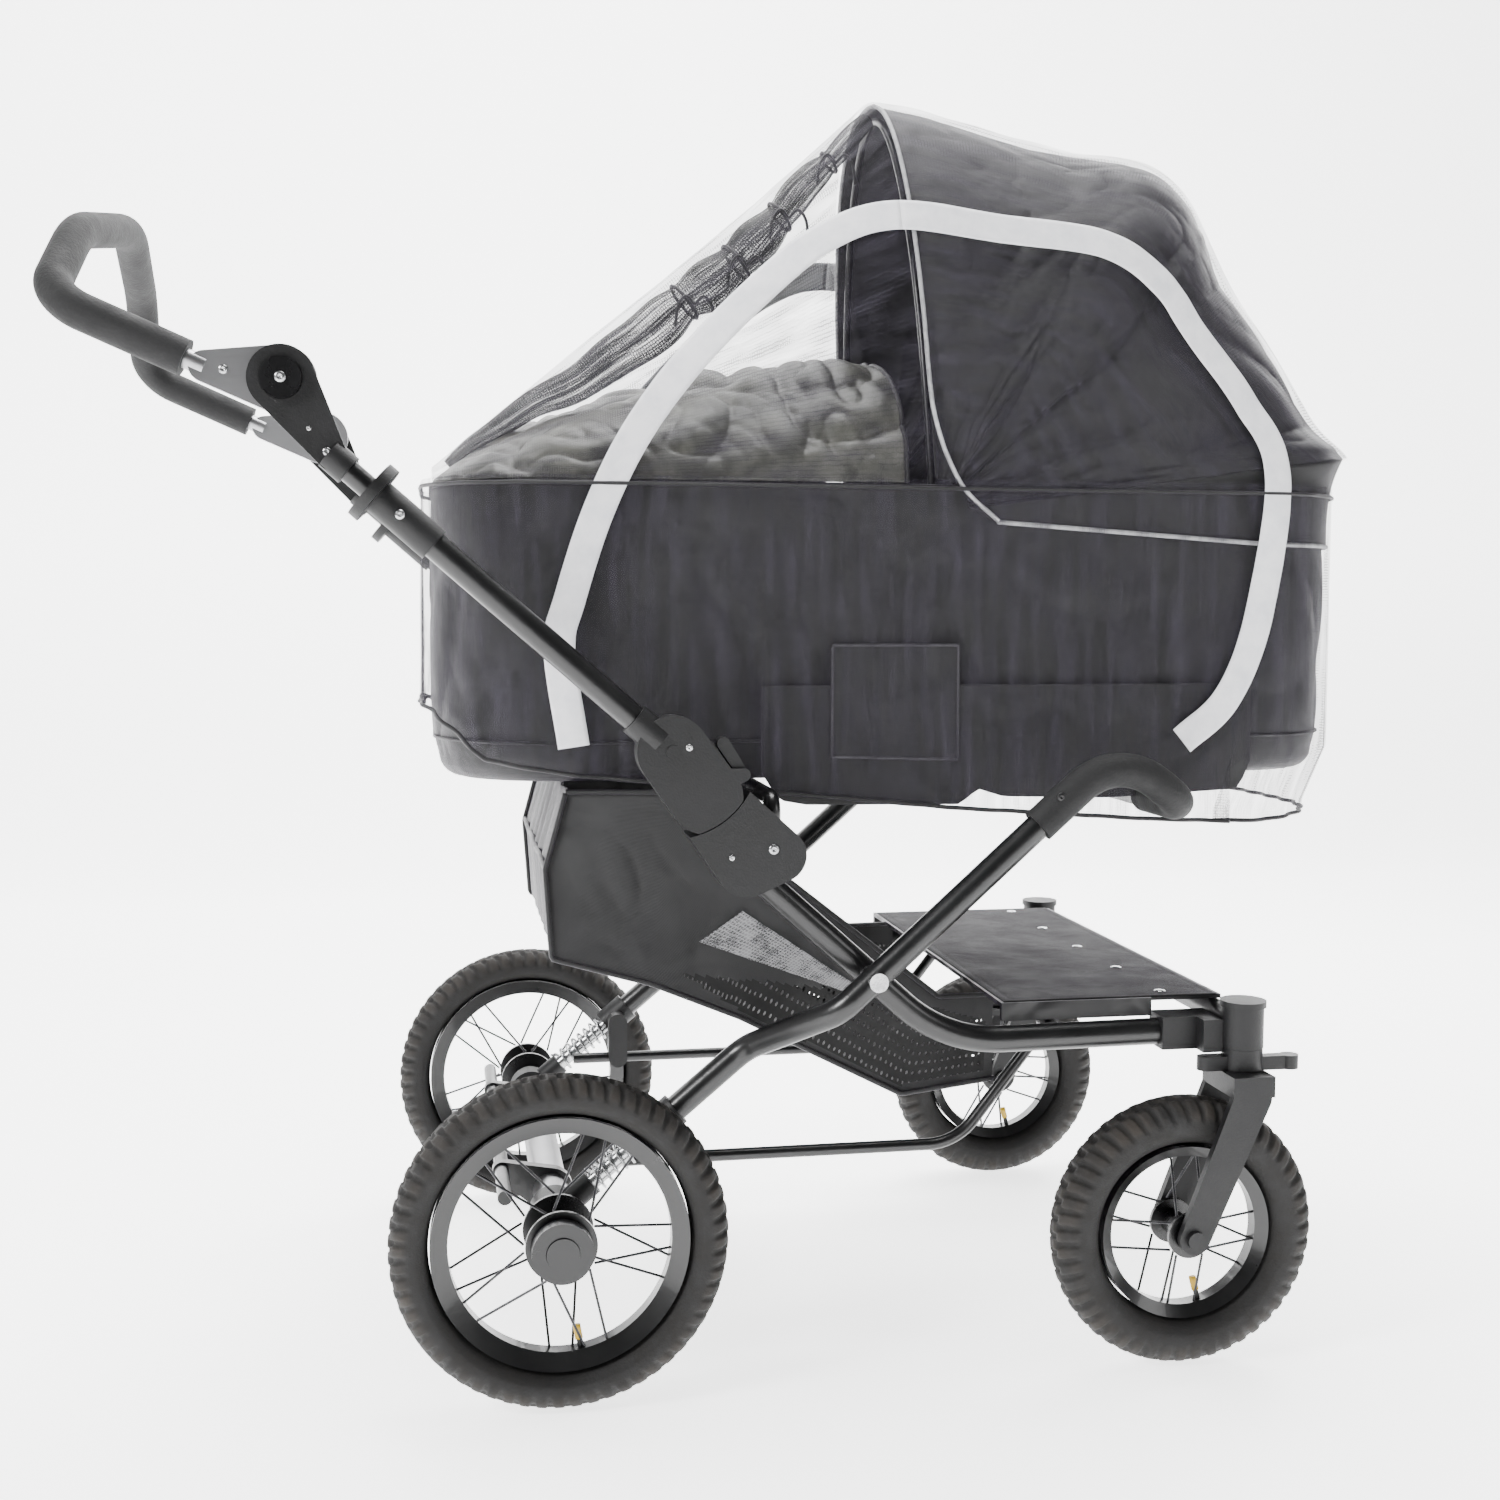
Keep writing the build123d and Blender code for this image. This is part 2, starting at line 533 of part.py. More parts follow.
def basket():
    """Hammock-shaped fabric trough slung under the cot, open at the top."""
    t = BASKET_WALL
    front_top = CROSS_Z + CROSS_R
    x1 = DECK_BACK + 10
    low = [(x1, 262.0), (347.0, 250.0), (184.0, 334.0), (95.0, 371.0), (0.0, 398.0)]
    rim = [(-6.0, 485.0), (14.0, 558.0), (118.0, 558.0), (385.0, front_top - 1), (x1, front_top)]
    outer = make_face(Polyline(*low, *rim, close=True))
    inner_low = [(x1 - t, 262.0 + t), (347.0, 250.0 + t), (184.0, 334.0 + t), (95.0, 371.0 + t),
                 (t + 1, 398.0 + t)]
    inner_rim = [(-6.0 + t, 485.0), (14.0 + t, 560.0), (14.0 + t, 700.0), (x1 - t, 700.0)]
    inner = make_face(Polyline(*inner_low, *inner_rim, close=True))
    return slab(outer, -BASKET_HALF, BASKET_HALF) - slab(inner, -BASKET_HALF + t, BASKET_HALF - t)


# ---------------------------------------------------------------- handle

def upper_housing(side):
    """Turning half of the fold joint, on the handle's outer tube."""
    y0, y1 = side * (HANDLE_Y - HOUSING_T / 2), side * (HANDLE_Y + HOUSING_T / 2)
    outline = lobe(FOLD, 33, along(FOLD, FOLD_AIM, 52), 34)
    outline = outline & (Pos(*FOLD) * Circle(FOLD_ARC))
    body = slab(outline, y0, y1)
    ear = along(FOLD, FOLD_AIM, 56, 40)
    seat = along(FOLD, FOLD_AIM, 48, 22)
    for a, b in ((0.0, 3.7), (HOUSING_T - 3.7, HOUSING_T)):
        body += slab(lobe(seat, 10, ear, 6), side * (HANDLE_Y - HOUSING_T / 2 + a),
                     side * (HANDLE_Y - HOUSING_T / 2 + b))
    body += rod_y(2.5, *ear, y0, y1)
    body -= rod_y(PIVOT_R + RUN_CLEAR, *FOLD, side * 200, side * 330)
    sleeve = rod(point(*handle_point(14), side * HANDLE_Y), point(*handle_point(46), side * HANDLE_Y),
                 OUTER_R + 3)
    sleeve -= Pos(*point(*handle_point(30), y0 - side * 10)) * Box(120, 20, 120)
    body += sleeve
    body -= rod(point(*handle_point(14), side * HANDLE_Y), point(*handle_point(60), side * HANDLE_Y),
                OUTER_R)
    return body


def fold_latch(side):
    """Spring lever on the housing's upper edge that frees the fold."""
    ear = along(FOLD, FOLD_AIM, 56, 40)
    tail = along(FOLD, FOLD_AIM, 22, 42)
    gap = 0.4
    y0 = side * (HANDLE_Y - HOUSING_T / 2 + 3.7 + gap)
    y1 = side * (HANDLE_Y + HOUSING_T / 2 - 3.7 - gap)
    body = slab(lobe(ear, 5, tail, 6), y0, y1)
    return body - rod_y(2.5 + RUN_CLEAR, *ear, y0 - side, y1 + side)


def outer_tube(side):
    a, b = handle_point(14.2), handle_point(OUTER_LEN)
    y = side * HANDLE_Y
    return rod(point(*a, y), point(*b, y), OUTER_R) - rod(point(*a, y), point(*b, y), OUTER_BORE)


def release_collar(side):
    y = side * HANDLE_Y
    a, b = handle_point(COLLAR_FROM), handle_point(COLLAR_TO)
    c = handle_point(COLLAR_TO - 10)
    body = rod(point(*a, y), point(*b, y), COLLAR_R) + rod(point(*c, y), point(*b, y), COLLAR_FLANGE_R)
    return body - rod(point(*a, y), point(*b, y), OUTER_R + RUN_CLEAR)


def inner_tube(side):
    a, b = handle_point(INNER_FROM), handle_point(INNER_TO)
    y = side * HANDLE_Y
    return rod(point(*a, y), point(*b, y), INNER_R) - rod(point(*a, y), point(*b, y), INNER_R - 1.5)


def hinge_arm(side):
    """Arm from the telescopic tube to the angle joint."""
    y = side * HANDLE_Y
    a, b = handle_point(INNER_TO - 14), handle_point(INNER_TO + 8)
    arm_y = (HANDLE_Y - 5.5, HANDLE_Y + 6.5)
    body = slab(lobe(handle_point(INNER_TO + 4), 13, JOINT, JOINT_R), side * arm_y[0], side * arm_y[1])
    body += rod(point(*a, y), point(*b, y), INNER_R + 3.5)
    body -= rod(point(*a, y), point(*handle_point(INNER_TO), y), INNER_R)
    body -= rod_y(18 + BUTTON_GAP, *JOINT, side * (arm_y[1] - BUTTON_TRAVEL - 1), side * (arm_y[1] + 1))
    return body - rod_y(6 + BUTTON_GAP, *JOINT, side * (arm_y[0] - 1), side * (arm_y[1] + 1))


def angle_button(side):
    out = HANDLE_Y + 6.5
    body = rod_y(18, *JOINT, side * (out - 0.5), side * (out + 6.5))
    return body + rod_y(6, *JOINT, side * (HANDLE_Y - 2.0), side * (out + 1))


def grip_bracket(side):
    """Flat aluminium bracket and its disc on the inner side of the angle joint."""
    y0, y1 = HANDLE_Y - 19.5, HANDLE_Y - 6.0
    body = slab(lobe(JOINT, JOINT_R + 1, GRIP_START, 13.5), side * y0, side * y1)
    end = (GRIP_START[0] - 16, GRIP_START[1] + 7)
    body += rod(point(*GRIP_START, side * (y0 + y1) / 2), point(*end, side * (y0 + y1) / 2), GRIP_CORE_R)
    return body - Pos(*point(*JOINT, side * y0)) * Box(30, 2.0, 30)


def grip_route():
    y = HANDLE_Y - 12.75
    half = [point(GRIP_START[0] - 16, GRIP_START[1] + 7, -y), point(*GRIP_CORNER, -y + 3),
            (GRIP_MID[0], -GRIP_MID_Y, GRIP_MID[1])]
    top = [(GRIP_TOP[0], 0, GRIP_TOP[1])]
    return half + top + [(p[0], -p[1], p[2]) for p in reversed(half)]


GRIP_BENDS = [40, 130, 190, 130, 40]


def grip_core():
    return pipe(grip_route(), GRIP_BENDS, GRIP_CORE_R, GRIP_CORE_R - 1.5)


def grip_foam():
    return pipe(grip_route(), GRIP_BENDS, GRIP_FOAM_R, GRIP_CORE_R)


# ---------------------------------------------------------------- cot and soft parts

def cot_plan(grow):
    """Rounded plan of the cot, grown or shrunk by a wall."""
    length = COT_HEAD - COT_FOOT
    return Pos((COT_HEAD + COT_FOOT) / 2, 0) * RectangleRounded(
        length + 2 * grow, 2 * (COT_HALF + grow), COT_CORNER_R + grow)


def cot_profile(inset):
    """Side outline of the cot: flat floor, raked ends."""
    z = COT_FLOOR + inset
    pts = [(COT_FOOT - 40, COT_RIM + 200), (COT_FOOT - 40, 670 + inset), (COT_FOOT + 12, 640 + inset),
           (10, 604 + inset), (185, z), (700, z), (COT_HEAD + 40, 690 + inset),
           (COT_HEAD + 40, COT_RIM + 200)]
    return slab(make_face(Polyline(*pts, close=True)), -400, 400)


def cot_shell():
    outer = extrude(Pos(0, 0, COT_FLOOR - 5) * cot_plan(0), COT_RIM - COT_FLOOR + 5) & cot_profile(0)
    inner = extrude(Pos(0, 0, COT_FLOOR - 5) * cot_plan(-COT_WALL), COT_RIM - COT_FLOOR + 50)
    return outer - (inner & cot_profile(COT_WALL))


def mattress():
    low = COT_FLOOR + COT_WALL + 0.3
    body = extrude(Pos(0, 0, low) * cot_plan(-COT_WALL - 3), MATTRESS_T)
    return body & cot_profile(COT_WALL + 0.3)


def crescent(plane, half, high, base, power, skin):
    """Thin arch on a plane: a superellipse cut off at a base height, with a wall inside it."""
    def arc(a, b):
        top = (1 - (base / b) ** power) ** (1 / power)
        pts = []
        for k in range(ARCH_STEPS + 1):
            turn = math.pi * k / ARCH_STEPS
            c, s = math.cos(turn), math.sin(turn)
            reach = (abs(c) ** power + abs(s) ** power) ** (-1 / power)
            pts.append((a * top * c * reach, base + (b - base) * s * reach))
        return pts
    out, ins = arc(half, high), arc(half - skin, high - skin)
    return plane * make_face(Polyline(*out, *reversed(ins), close=True))


# angle from +X, reach and superellipse power of the hood's cross sections about the bow pivot
HOOD_RAYS = ((94.0, 433.0, 2.4), (78.0, 420.0, 2.4), (65.0, 432.0, 2.4), (51.6, 471.0, 2.5),
             (34.4, 438.0, 2.9), (15.1, 450.0, 4.0), (8.0, 474.0, 5.5))
FRONT_RAY, MIDDLE_RAY = HOOD_RAYS[0], HOOD_RAYS[3]


def hood_cover(grow, skin):
    """Cover swept round the bow pivot from the front bow down to the head end."""
    sections = []
    for turn, reach, power in HOOD_RAYS:
        aim = math.radians(turn)
        out = (math.cos(aim), 0, math.sin(aim))
        plane = Plane(origin=point(*BOW_PIVOT, 0), x_dir=(0, 1, 0),
                      z_dir=Vector(0, 1, 0).cross(Vector(*out)))
        sections.append(crescent(plane, HOOD_HALF + grow, reach + grow, HOOD_BASE, power, skin))
    return loft(sections, ruled=True)


def bow(turn, reach, side_gap):
    """Half-ellipse hoop on its two pivot eyes."""
    half = COT_HALF - COT_WALL - BOW_R - side_gap
    aim = math.radians(turn)
    out = Vector(math.cos(aim), 0, math.sin(aim))
    plane = Plane(origin=point(*BOW_PIVOT, 0), x_dir=(0, 1, 0), z_dir=Vector(0, 1, 0).cross(out))
    rise = reach - SOFT_T - BOW_R - 4.0
    turns = [math.pi * k / 12 for k in range(13)]
    path = plane * Spline(*[(half * math.cos(t), rise * math.sin(t)) for t in turns])
    body = sweep(Plane(origin=path @ 0, z_dir=path % 0) * Circle(BOW_R), path=path)
    for s in (-1, 1):
        body += rod_y(9, *BOW_PIVOT, s * (half - EYE_HALF), s * (half + EYE_HALF))
        body -= rod_y(3 + RUN_CLEAR, *BOW_PIVOT, s * (half - 20), s * (half + 20))
    return body


def bow_pivots():
    parts = []
    for s in (-1, 1):
        wall = COT_HALF - COT_WALL
        parts.append(rod_y(3, *BOW_PIVOT, s * wall, s * (wall - 24)) + rod_y(
            5, *BOW_PIVOT, s * (wall - 21), s * (wall - 24)))
    return Compound(children=parts)


def apron_section(x, half, rise, base, skin):
    plane = Plane(origin=(x, 0, base), x_dir=(0, 1, 0), z_dir=(1, 0, 0))
    return crescent(plane, half, rise, 0.0, 2.0, skin)


def apron():
    """Padded cover over the foot end of the cot."""
    base = COT_RIM + 0.4
    reach = APRON_CROWN_X - COT_FOOT
    stations = [(COT_FOOT + 4, COT_HALF - 77), (COT_FOOT + 22, COT_HALF - 43), (COT_FOOT + 60, COT_HALF - 12),
                (COT_FOOT + 130, COT_HALF - 2), (COT_FOOT + 260, COT_HALF - 1),
                (APRON_END_X, COT_HALF - 1)]
    faces = []
    for x, half in stations:
        rise = APRON_RISE * (1 - ((APRON_CROWN_X - x) / reach) ** 2) ** 0.75
        faces.append(apron_section(x, half, rise, base, SOFT_T))
    return loft(faces, ruled=True)


def net():
    """Fine net: a skirt round the cot, a cover over the hood and a taut front."""
    skin, out = NET_T, NET_GAP + NET_T
    inside = HOOD_HALF - COT_HALF + 0.5
    ring = extrude(Pos(0, 0, COT_FLOOR + 3) * cot_plan(inside + skin), COT_RIM - COT_FLOOR - 2.6)
    ring -= extrude(Pos(0, 0, COT_FLOOR - 5) * cot_plan(inside), COT_RIM)
    hood = hood_cover(out, skin)
    base = COT_RIM + 0.9
    aim = math.radians(FRONT_RAY[0] + 0.5)
    ray = (math.cos(aim), 0, math.sin(aim))
    plane = Plane(origin=point(*BOW_PIVOT, 0), x_dir=(0, 1, 0),
                  z_dir=Vector(0, 1, 0).cross(Vector(*ray)))
    faces = [crescent(plane, HOOD_HALF + out, FRONT_RAY[1] + out, HOOD_BASE, FRONT_RAY[2], skin)]
    top_x, top_z = BOW_PIVOT[0] + ray[0] * FRONT_RAY[1], BOW_PIVOT[1] + ray[2] * FRONT_RAY[1]
    slope = (top_z - COT_RIM - 16) / (top_x - COT_FOOT)
    for x, half in ((COT_FOOT + 170, HOOD_HALF), (COT_FOOT + 80, COT_HALF),
                    (COT_FOOT + 24, COT_HALF - 26), (COT_FOOT + 2, COT_HALF - 60)):
        rise = 16 + slope * (x - COT_FOOT)
        faces.append(apron_section(x, half, rise, base, skin))
    front = loft(list(reversed(faces)), ruled=True)
    return Compound(children=[ring, hood, front])


# ---------------------------------------------------------------- all nodes

def build():
    nodes = {}
    nodes.update(rear_wheel(-1, "rear_right"))
    nodes.update(rear_wheel(1, "rear_left"))
    nodes.update(front_wheel(-1, "front_right"))
    nodes.update(front_wheel(1, "front_left"))
    for side, name in ((-1, "right"), (1, "left")):
        nodes[f"caster_fork_{name}"] = caster_fork(side)
        nodes[f"lock_lever_{name}"] = lock_lever(side)
        nodes[f"side_tube_{name}"] = side_tube(side)
        nodes[f"support_tube_{name}"] = support_tube(side)
        nodes[f"release_collar_{name}"] = release_collar(side)
        nodes[f"fold_latch_{name}"] = fold_latch(side)
        nodes[f"angle_button_{name}"] = angle_button(side)
    pairs = {"arch_foam": arch_foam, "lower_housings": lower_housing,
             "upper_housings": upper_housing, "outer_tubes": outer_tube,
             "inner_tubes": inner_tube, "hinge_arms": hinge_arm}
    for name, make in pairs.items():
        nodes[name] = group(make(-1), make(1))
    nodes["frame_connectors"] = group(
        caster_housing(-1), caster_housing(1), corner_connector(-1), corner_connector(1),
        tube_end_fittings())
    nodes["frame_fasteners"] = group(crossing_bolts(), deck_rivets())
    nodes["cross_bars"] = group(front_cross_tube(), cradle_bar())
    nodes["tie_rods"] = tie_rods()
    nodes["rear_axle_tube"] = rear_axle_tube()
    nodes["axle_fittings"] = group(stub_axles(), axle_brackets())
    nodes["suspension_plungers"] = suspension_plungers()
    nodes["suspension_springs"] = suspension_springs()
    nodes["brake_bar"] = brake_bar()
    nodes["deck_panel"] = deck_panel()
    nodes["basket"] = basket()
    nodes["grip_frame"] = group(grip_core(), grip_bracket(-1), grip_bracket(1))
    nodes["grip_foam"] = grip_foam()
    nodes["cot_shell"] = cot_shell()
    nodes["mattress"] = mattress()
    nodes["apron"] = apron()
    nodes["hood_cover"] = hood_cover(0.0, SOFT_T)
    nodes["front_bow"] = bow(FRONT_RAY[0] - 1.2, FRONT_RAY[1], BOW_SIDE_GAP)
    nodes["middle_bow"] = bow(MIDDLE_RAY[0], MIDDLE_RAY[1], BOW_SIDE_GAP + 2 * EYE_HALF + 0.8)
    nodes["bow_pivots"] = bow_pivots()
    nodes["net"] = net()
    return nodes


NODES = build()
LOW_X = min(solid.bounding_box().min.X for solid in NODES.values())
HIGH_X = max(solid.bounding_box().max.X for solid in NODES.values())
SHIFT = -(LOW_X + HIGH_X) / 2

if __name__ == "__main__":
    os.makedirs("parts", exist_ok=True)
    for node, shape in NODES.items():
        export_step(Pos(SHIFT, 0, 0) * shape, f"parts/{node}.step")
    print("nodes", len(NODES), "shift", round(SHIFT, 3))
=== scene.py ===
import logging
import math
from collections.abc import Sequence
from dataclasses import dataclass
from enum import Enum

import bmesh
import bpy
import numpy as np
from mathutils import Euler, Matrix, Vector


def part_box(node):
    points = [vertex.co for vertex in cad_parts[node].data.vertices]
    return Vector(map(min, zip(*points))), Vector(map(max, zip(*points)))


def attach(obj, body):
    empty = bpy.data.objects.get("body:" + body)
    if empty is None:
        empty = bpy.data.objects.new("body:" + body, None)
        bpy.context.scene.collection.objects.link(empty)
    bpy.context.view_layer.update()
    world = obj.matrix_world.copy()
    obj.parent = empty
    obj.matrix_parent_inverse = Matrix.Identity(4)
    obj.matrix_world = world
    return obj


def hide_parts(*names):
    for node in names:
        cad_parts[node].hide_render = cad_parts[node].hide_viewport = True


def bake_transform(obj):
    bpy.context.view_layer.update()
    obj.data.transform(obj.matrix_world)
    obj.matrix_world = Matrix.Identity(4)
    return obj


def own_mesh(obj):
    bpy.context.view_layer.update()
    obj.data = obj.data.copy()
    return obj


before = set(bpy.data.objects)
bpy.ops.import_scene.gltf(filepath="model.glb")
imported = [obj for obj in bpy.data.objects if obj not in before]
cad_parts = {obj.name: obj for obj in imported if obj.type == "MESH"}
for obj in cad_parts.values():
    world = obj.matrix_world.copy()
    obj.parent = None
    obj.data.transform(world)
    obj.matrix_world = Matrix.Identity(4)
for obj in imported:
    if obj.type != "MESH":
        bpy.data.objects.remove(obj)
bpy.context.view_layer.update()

LOG = logging.getLogger("pet_stroller")
MM = 0.001
WAVE_RADIANS = 20.0  # how far Blender's wave texture turns over one unit at scale 1
CLOTH_THICK = 1.2  # canvas and tape, in millimetres
REAR_AXLE_X = sum(corner[0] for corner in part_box("rear_axle_tube")) / 2


class Side(Enum):
    """The two sides of the stroller, as the sign of Y."""

    RIGHT = -1
    LEFT = 1


# ------------------------------------------------------------------ numbers to places


def place(points: np.ndarray) -> np.ndarray:
    """Turn millimetres measured from the rear axle's floor point into metres in the frame.

    Args:
        points: array ending in x, y, z, in millimetres.

    Returns:
        The same array in metres, shifted along X by the rear axle's place.
    """
    out = np.array(points, dtype=float) * MM
    out[..., 0] += REAR_AXLE_X
    return out


def smooth_curve(knots: Sequence[Sequence[float]], count: int) -> np.ndarray:
    """Carry a Catmull-Rom curve through knots: each span is the cubic whose end slopes are half
    the step between the neighbours.

    Args:
        knots: points of any dimension.
        count: number of points to return, evenly spaced along the curve.

    Returns:
        An array of count points.
    """
    p = np.array(knots, dtype=float)
    ends = np.vstack([2 * p[0] - p[1], p, 2 * p[-1] - p[-2]])
    t = np.linspace(0, len(p) - 1 - 1e-9, count * 8)
    k, f = np.floor(t).astype(int), (t % 1)[:, None]
    a, b, c, d = ends[k], ends[k + 1], ends[k + 2], ends[k + 3]
    curve = b + 0.5 * f * (c - a + f * (2 * a - 5 * b + 4 * c - d + f * (3 * (b - c) + d - a)))
    run = np.concatenate([[0], np.cumsum(np.linalg.norm(np.diff(curve, axis=0), axis=1))])
    want = np.linspace(0, run[-1], count)
    return np.stack([np.interp(want, run, curve[:, i]) for i in range(p.shape[1])], axis=1)


def ripples(points: np.ndarray, wave_mm: float, seed: int,
            stretch: Sequence[float] = (1, 1, 1)) -> np.ndarray:
    """Sum of eight sine waves in seeded random directions, from about -1 to 1.

    Args:
        points: array ending in x, y, z, in millimetres.
        wave_mm: mean wavelength.
        seed: picks the directions and phases.
        stretch: how much longer the waves are along each axis.

    Returns:
        One value for each point.
    """
    rng = np.random.default_rng(seed)
    aims = rng.normal(size=(8, 3)) / np.array(stretch)
    aims /= np.linalg.norm(aims, axis=1)[:, None] * np.array(np.mean(stretch))
    waves = 2 * math.pi / (wave_mm * rng.uniform(0.7, 1.5, 8))
    phase = rng.uniform(0, 2 * math.pi, 8)
    return np.sin(points @ (aims * waves[:, None]).T + phase).sum(axis=-1) / 4


def creases(points: np.ndarray, wave_mm: float, seed: int,
            stretch: Sequence[float] = (1, 1, 1)) -> np.ndarray:
    """Sharp-ridged folds: one minus the root of the ripples' size, bent by wider ripples.

    Args:
        points: array ending in x, y, z, in millimetres.
        wave_mm: mean distance between ridges.
        seed: picks the directions and phases.
        stretch: how much longer the folds are along each axis.

    Returns:
        One value for each point, highest on the ridges.
    """
    bent = points + 0.35 * wave_mm * ripples(points, wave_mm * 2.2, seed + 1)[..., None]
    return 1 - np.sqrt(np.abs(ripples(bent, wave_mm, seed, stretch)))


# ------------------------------------------------------------------ mesh makers


def surface(name: str, grid: np.ndarray, close_u: bool = False, close_v: bool = False,
            weld: float = 0.0) -> bpy.types.Object:
    """Make a quad mesh from a grid of points, with a UV map in metres along the surface.

    Args:
        name: the piece's name.
        grid: points in millimetres, shaped (rows, columns, 3).
        close_u: join the last row to the first.
        close_v: join the last column to the first.
        weld: distance in metres under which points are merged, for poles.

    Returns:
        The new object, at the origin, with its place in its mesh.
    """
    pts = place(grid)
    nu, nv = pts.shape[:2]
    rows = np.arange(nu if close_u else nu - 1)
    cols = np.arange(nv if close_v else nv - 1)
    r, c = np.meshgrid(rows, cols, indexing="ij")
    r2, c2 = (r + 1) % nu, (c + 1) % nv
    quads = np.stack([r * nv + c, r2 * nv + c, r2 * nv + c2, r * nv + c2], axis=-1).reshape(-1, 4)
    mesh = bpy.data.meshes.new(name)
    mesh.from_pydata(pts.reshape(-1, 3).tolist(), [], quads.tolist())
    du = np.linalg.norm(np.diff(pts, axis=0, append=pts[:1]), axis=2).mean(axis=1)
    dv = np.linalg.norm(np.diff(pts, axis=1, append=pts[:, :1]), axis=2).mean(axis=0)
    run_u, run_v = np.concatenate([[0], np.cumsum(du)]), np.concatenate([[0], np.cumsum(dv)])
    corner_r = np.stack([r, r + 1, r + 1, r], axis=-1).reshape(-1)
    corner_c = np.stack([c, c, c + 1, c + 1], axis=-1).reshape(-1)
    uv = mesh.uv_layers.new(name="cloth")
    uv.data.foreach_set("uv", np.stack([run_u[corner_r], run_v[corner_c]], axis=-1).reshape(-1))
    return finish_mesh(name, mesh, weld)


def finish_mesh(name: str, mesh: bpy.types.Mesh, weld: float = 0.0) -> bpy.types.Object:
    """Merge close points, turn the faces outwards, shade smooth and link the object.

    Args:
        name: the piece's name.
        mesh: its faces, in metres.
        weld: distance in metres under which points are merged.

    Returns:
        The new object, at the origin.
    """
    work = bmesh.new()
    work.from_mesh(mesh)
    if weld:
        bmesh.ops.remove_doubles(work, verts=work.verts, dist=weld)
    bmesh.ops.recalc_face_normals(work, faces=work.faces)
    work.to_mesh(mesh)
    work.free()
    mesh.polygons.foreach_set("use_smooth", [True] * len(mesh.polygons))
    made = bpy.data.objects.new(name, mesh)
    bpy.context.scene.collection.objects.link(made)
    return made


def join(name: str, parts: Sequence[bpy.types.Object], weld: float = 0.0) -> bpy.types.Object:
    """Join several made objects into one.

    Args:
        name: the new piece's name.
        parts: the objects, which are removed.
        weld: distance in metres under which points are merged.

    Returns:
        The new object.
    """
    work = bmesh.new()
    for part in parts:
        work.from_mesh(part.data)
    mesh = bpy.data.meshes.new(name)
    work.to_mesh(mesh)
    work.free()
    for part in parts:
        old = part.data
        bpy.data.objects.remove(part)
        bpy.data.meshes.remove(old)
    return finish_mesh(name, mesh, weld)


def sweep(name: str, path: np.ndarray, radius: float | np.ndarray, ring: int = 10,
          closed: bool = False) -> bpy.types.Object:
    """Carry a circle along a path: each ring stands square to the path's direction.

    Args:
        name: the piece's name.
        path: points in millimetres.
        radius: one radius or one for each point.
        ring: points round the circle.
        closed: join the path's end to its start.

    Returns:
        The tube, with its ends drawn to a point unless it is closed.
    """
    p = np.asarray(path, float)
    tangent = np.roll(p, -1, 0) - np.roll(p, 1, 0) if closed else np.gradient(p, axis=0)
    tangent /= np.linalg.norm(tangent, axis=1)[:, None]
    up = np.where(np.abs(tangent[:, 2:3]) > 0.9, [[1.0, 0, 0]], [[0, 0, 1.0]])
    if not closed and np.abs(tangent[:, 2]).max() > 0.9:
        up = np.tile([[0.0, 1.0, 0.02]], (len(p), 1))
    one = np.cross(tangent, up)
    one /= np.linalg.norm(one, axis=1)[:, None]
    two = np.cross(tangent, one)
    r = np.broadcast_to(np.asarray(radius, float), (len(p),))[:, None, None]
    turn = np.linspace(0, 2 * math.pi, ring, endpoint=False)
    cosine, sine = np.cos(turn)[None, :, None], np.sin(turn)[None, :, None]
    rings = p[:, None] + r * (cosine * one[:, None] + sine * two[:, None])
    if closed:
        return surface(name, rings, True, True)
    cap0, cap1 = np.repeat(p[:1, None], ring, 1), np.repeat(p[-1:, None], ring, 1)
    return surface(name, np.concatenate([cap0, rings, cap1]), False, True, 1e-6)


def turned(name: str, profile: Sequence[Sequence[float]], centre: Sequence[float], side: int,
           steps: int = 40) -> bpy.types.Object:
    """Turn a profile about a line along Y.

    Args:
        name: the piece's name.
        profile: pairs of radius and distance outwards along Y, in millimetres.
        centre: x, y, z of the axis' zero, in millimetres.
        side: sign of the outward direction.
        steps: points round.

    Returns:
        The turned piece.
    """
    prof = np.array(profile, float)
    turn = np.linspace(0, 2 * math.pi, steps, endpoint=False)
    x = centre[0] + prof[None, :, 0] * np.cos(turn)[:, None]
    z = centre[2] + prof[None, :, 0] * np.sin(turn)[:, None]
    y = np.broadcast_to(centre[1] + side * prof[None, :, 1], x.shape)
    return surface(name, np.stack([x, y, z], axis=-1), True, False, 1e-6)


def wall(piece: bpy.types.Object, thickness_mm: float, offset: float = -1.0) -> None:
    """Give a sheet its thickness with a live Solidify.

    Args:
        piece: the sheet.
        thickness_mm: its thickness.
        offset: -1 thickens inwards, 0 on both sides.
    """
    mod = piece.modifiers.new("thickness", "SOLIDIFY")
    mod.thickness = thickness_mm * MM
    mod.offset = offset


# ------------------------------------------------------------------ materials


def linear(hex_colour: str) -> tuple[float, float, float, float]:
    """Turn an sRGB colour into a linear one.

    Args:
        hex_colour: a hash and six hex digits.

    Returns:
        Linear red, green and blue, and an alpha of one.
    """
    parts = [int(hex_colour[i:i + 2], 16) / 255 for i in (1, 3, 5)]
    return (*[v / 12.92 if v <= 0.04045 else ((v + 0.055) / 1.055) ** 2.4 for v in parts], 1.0)


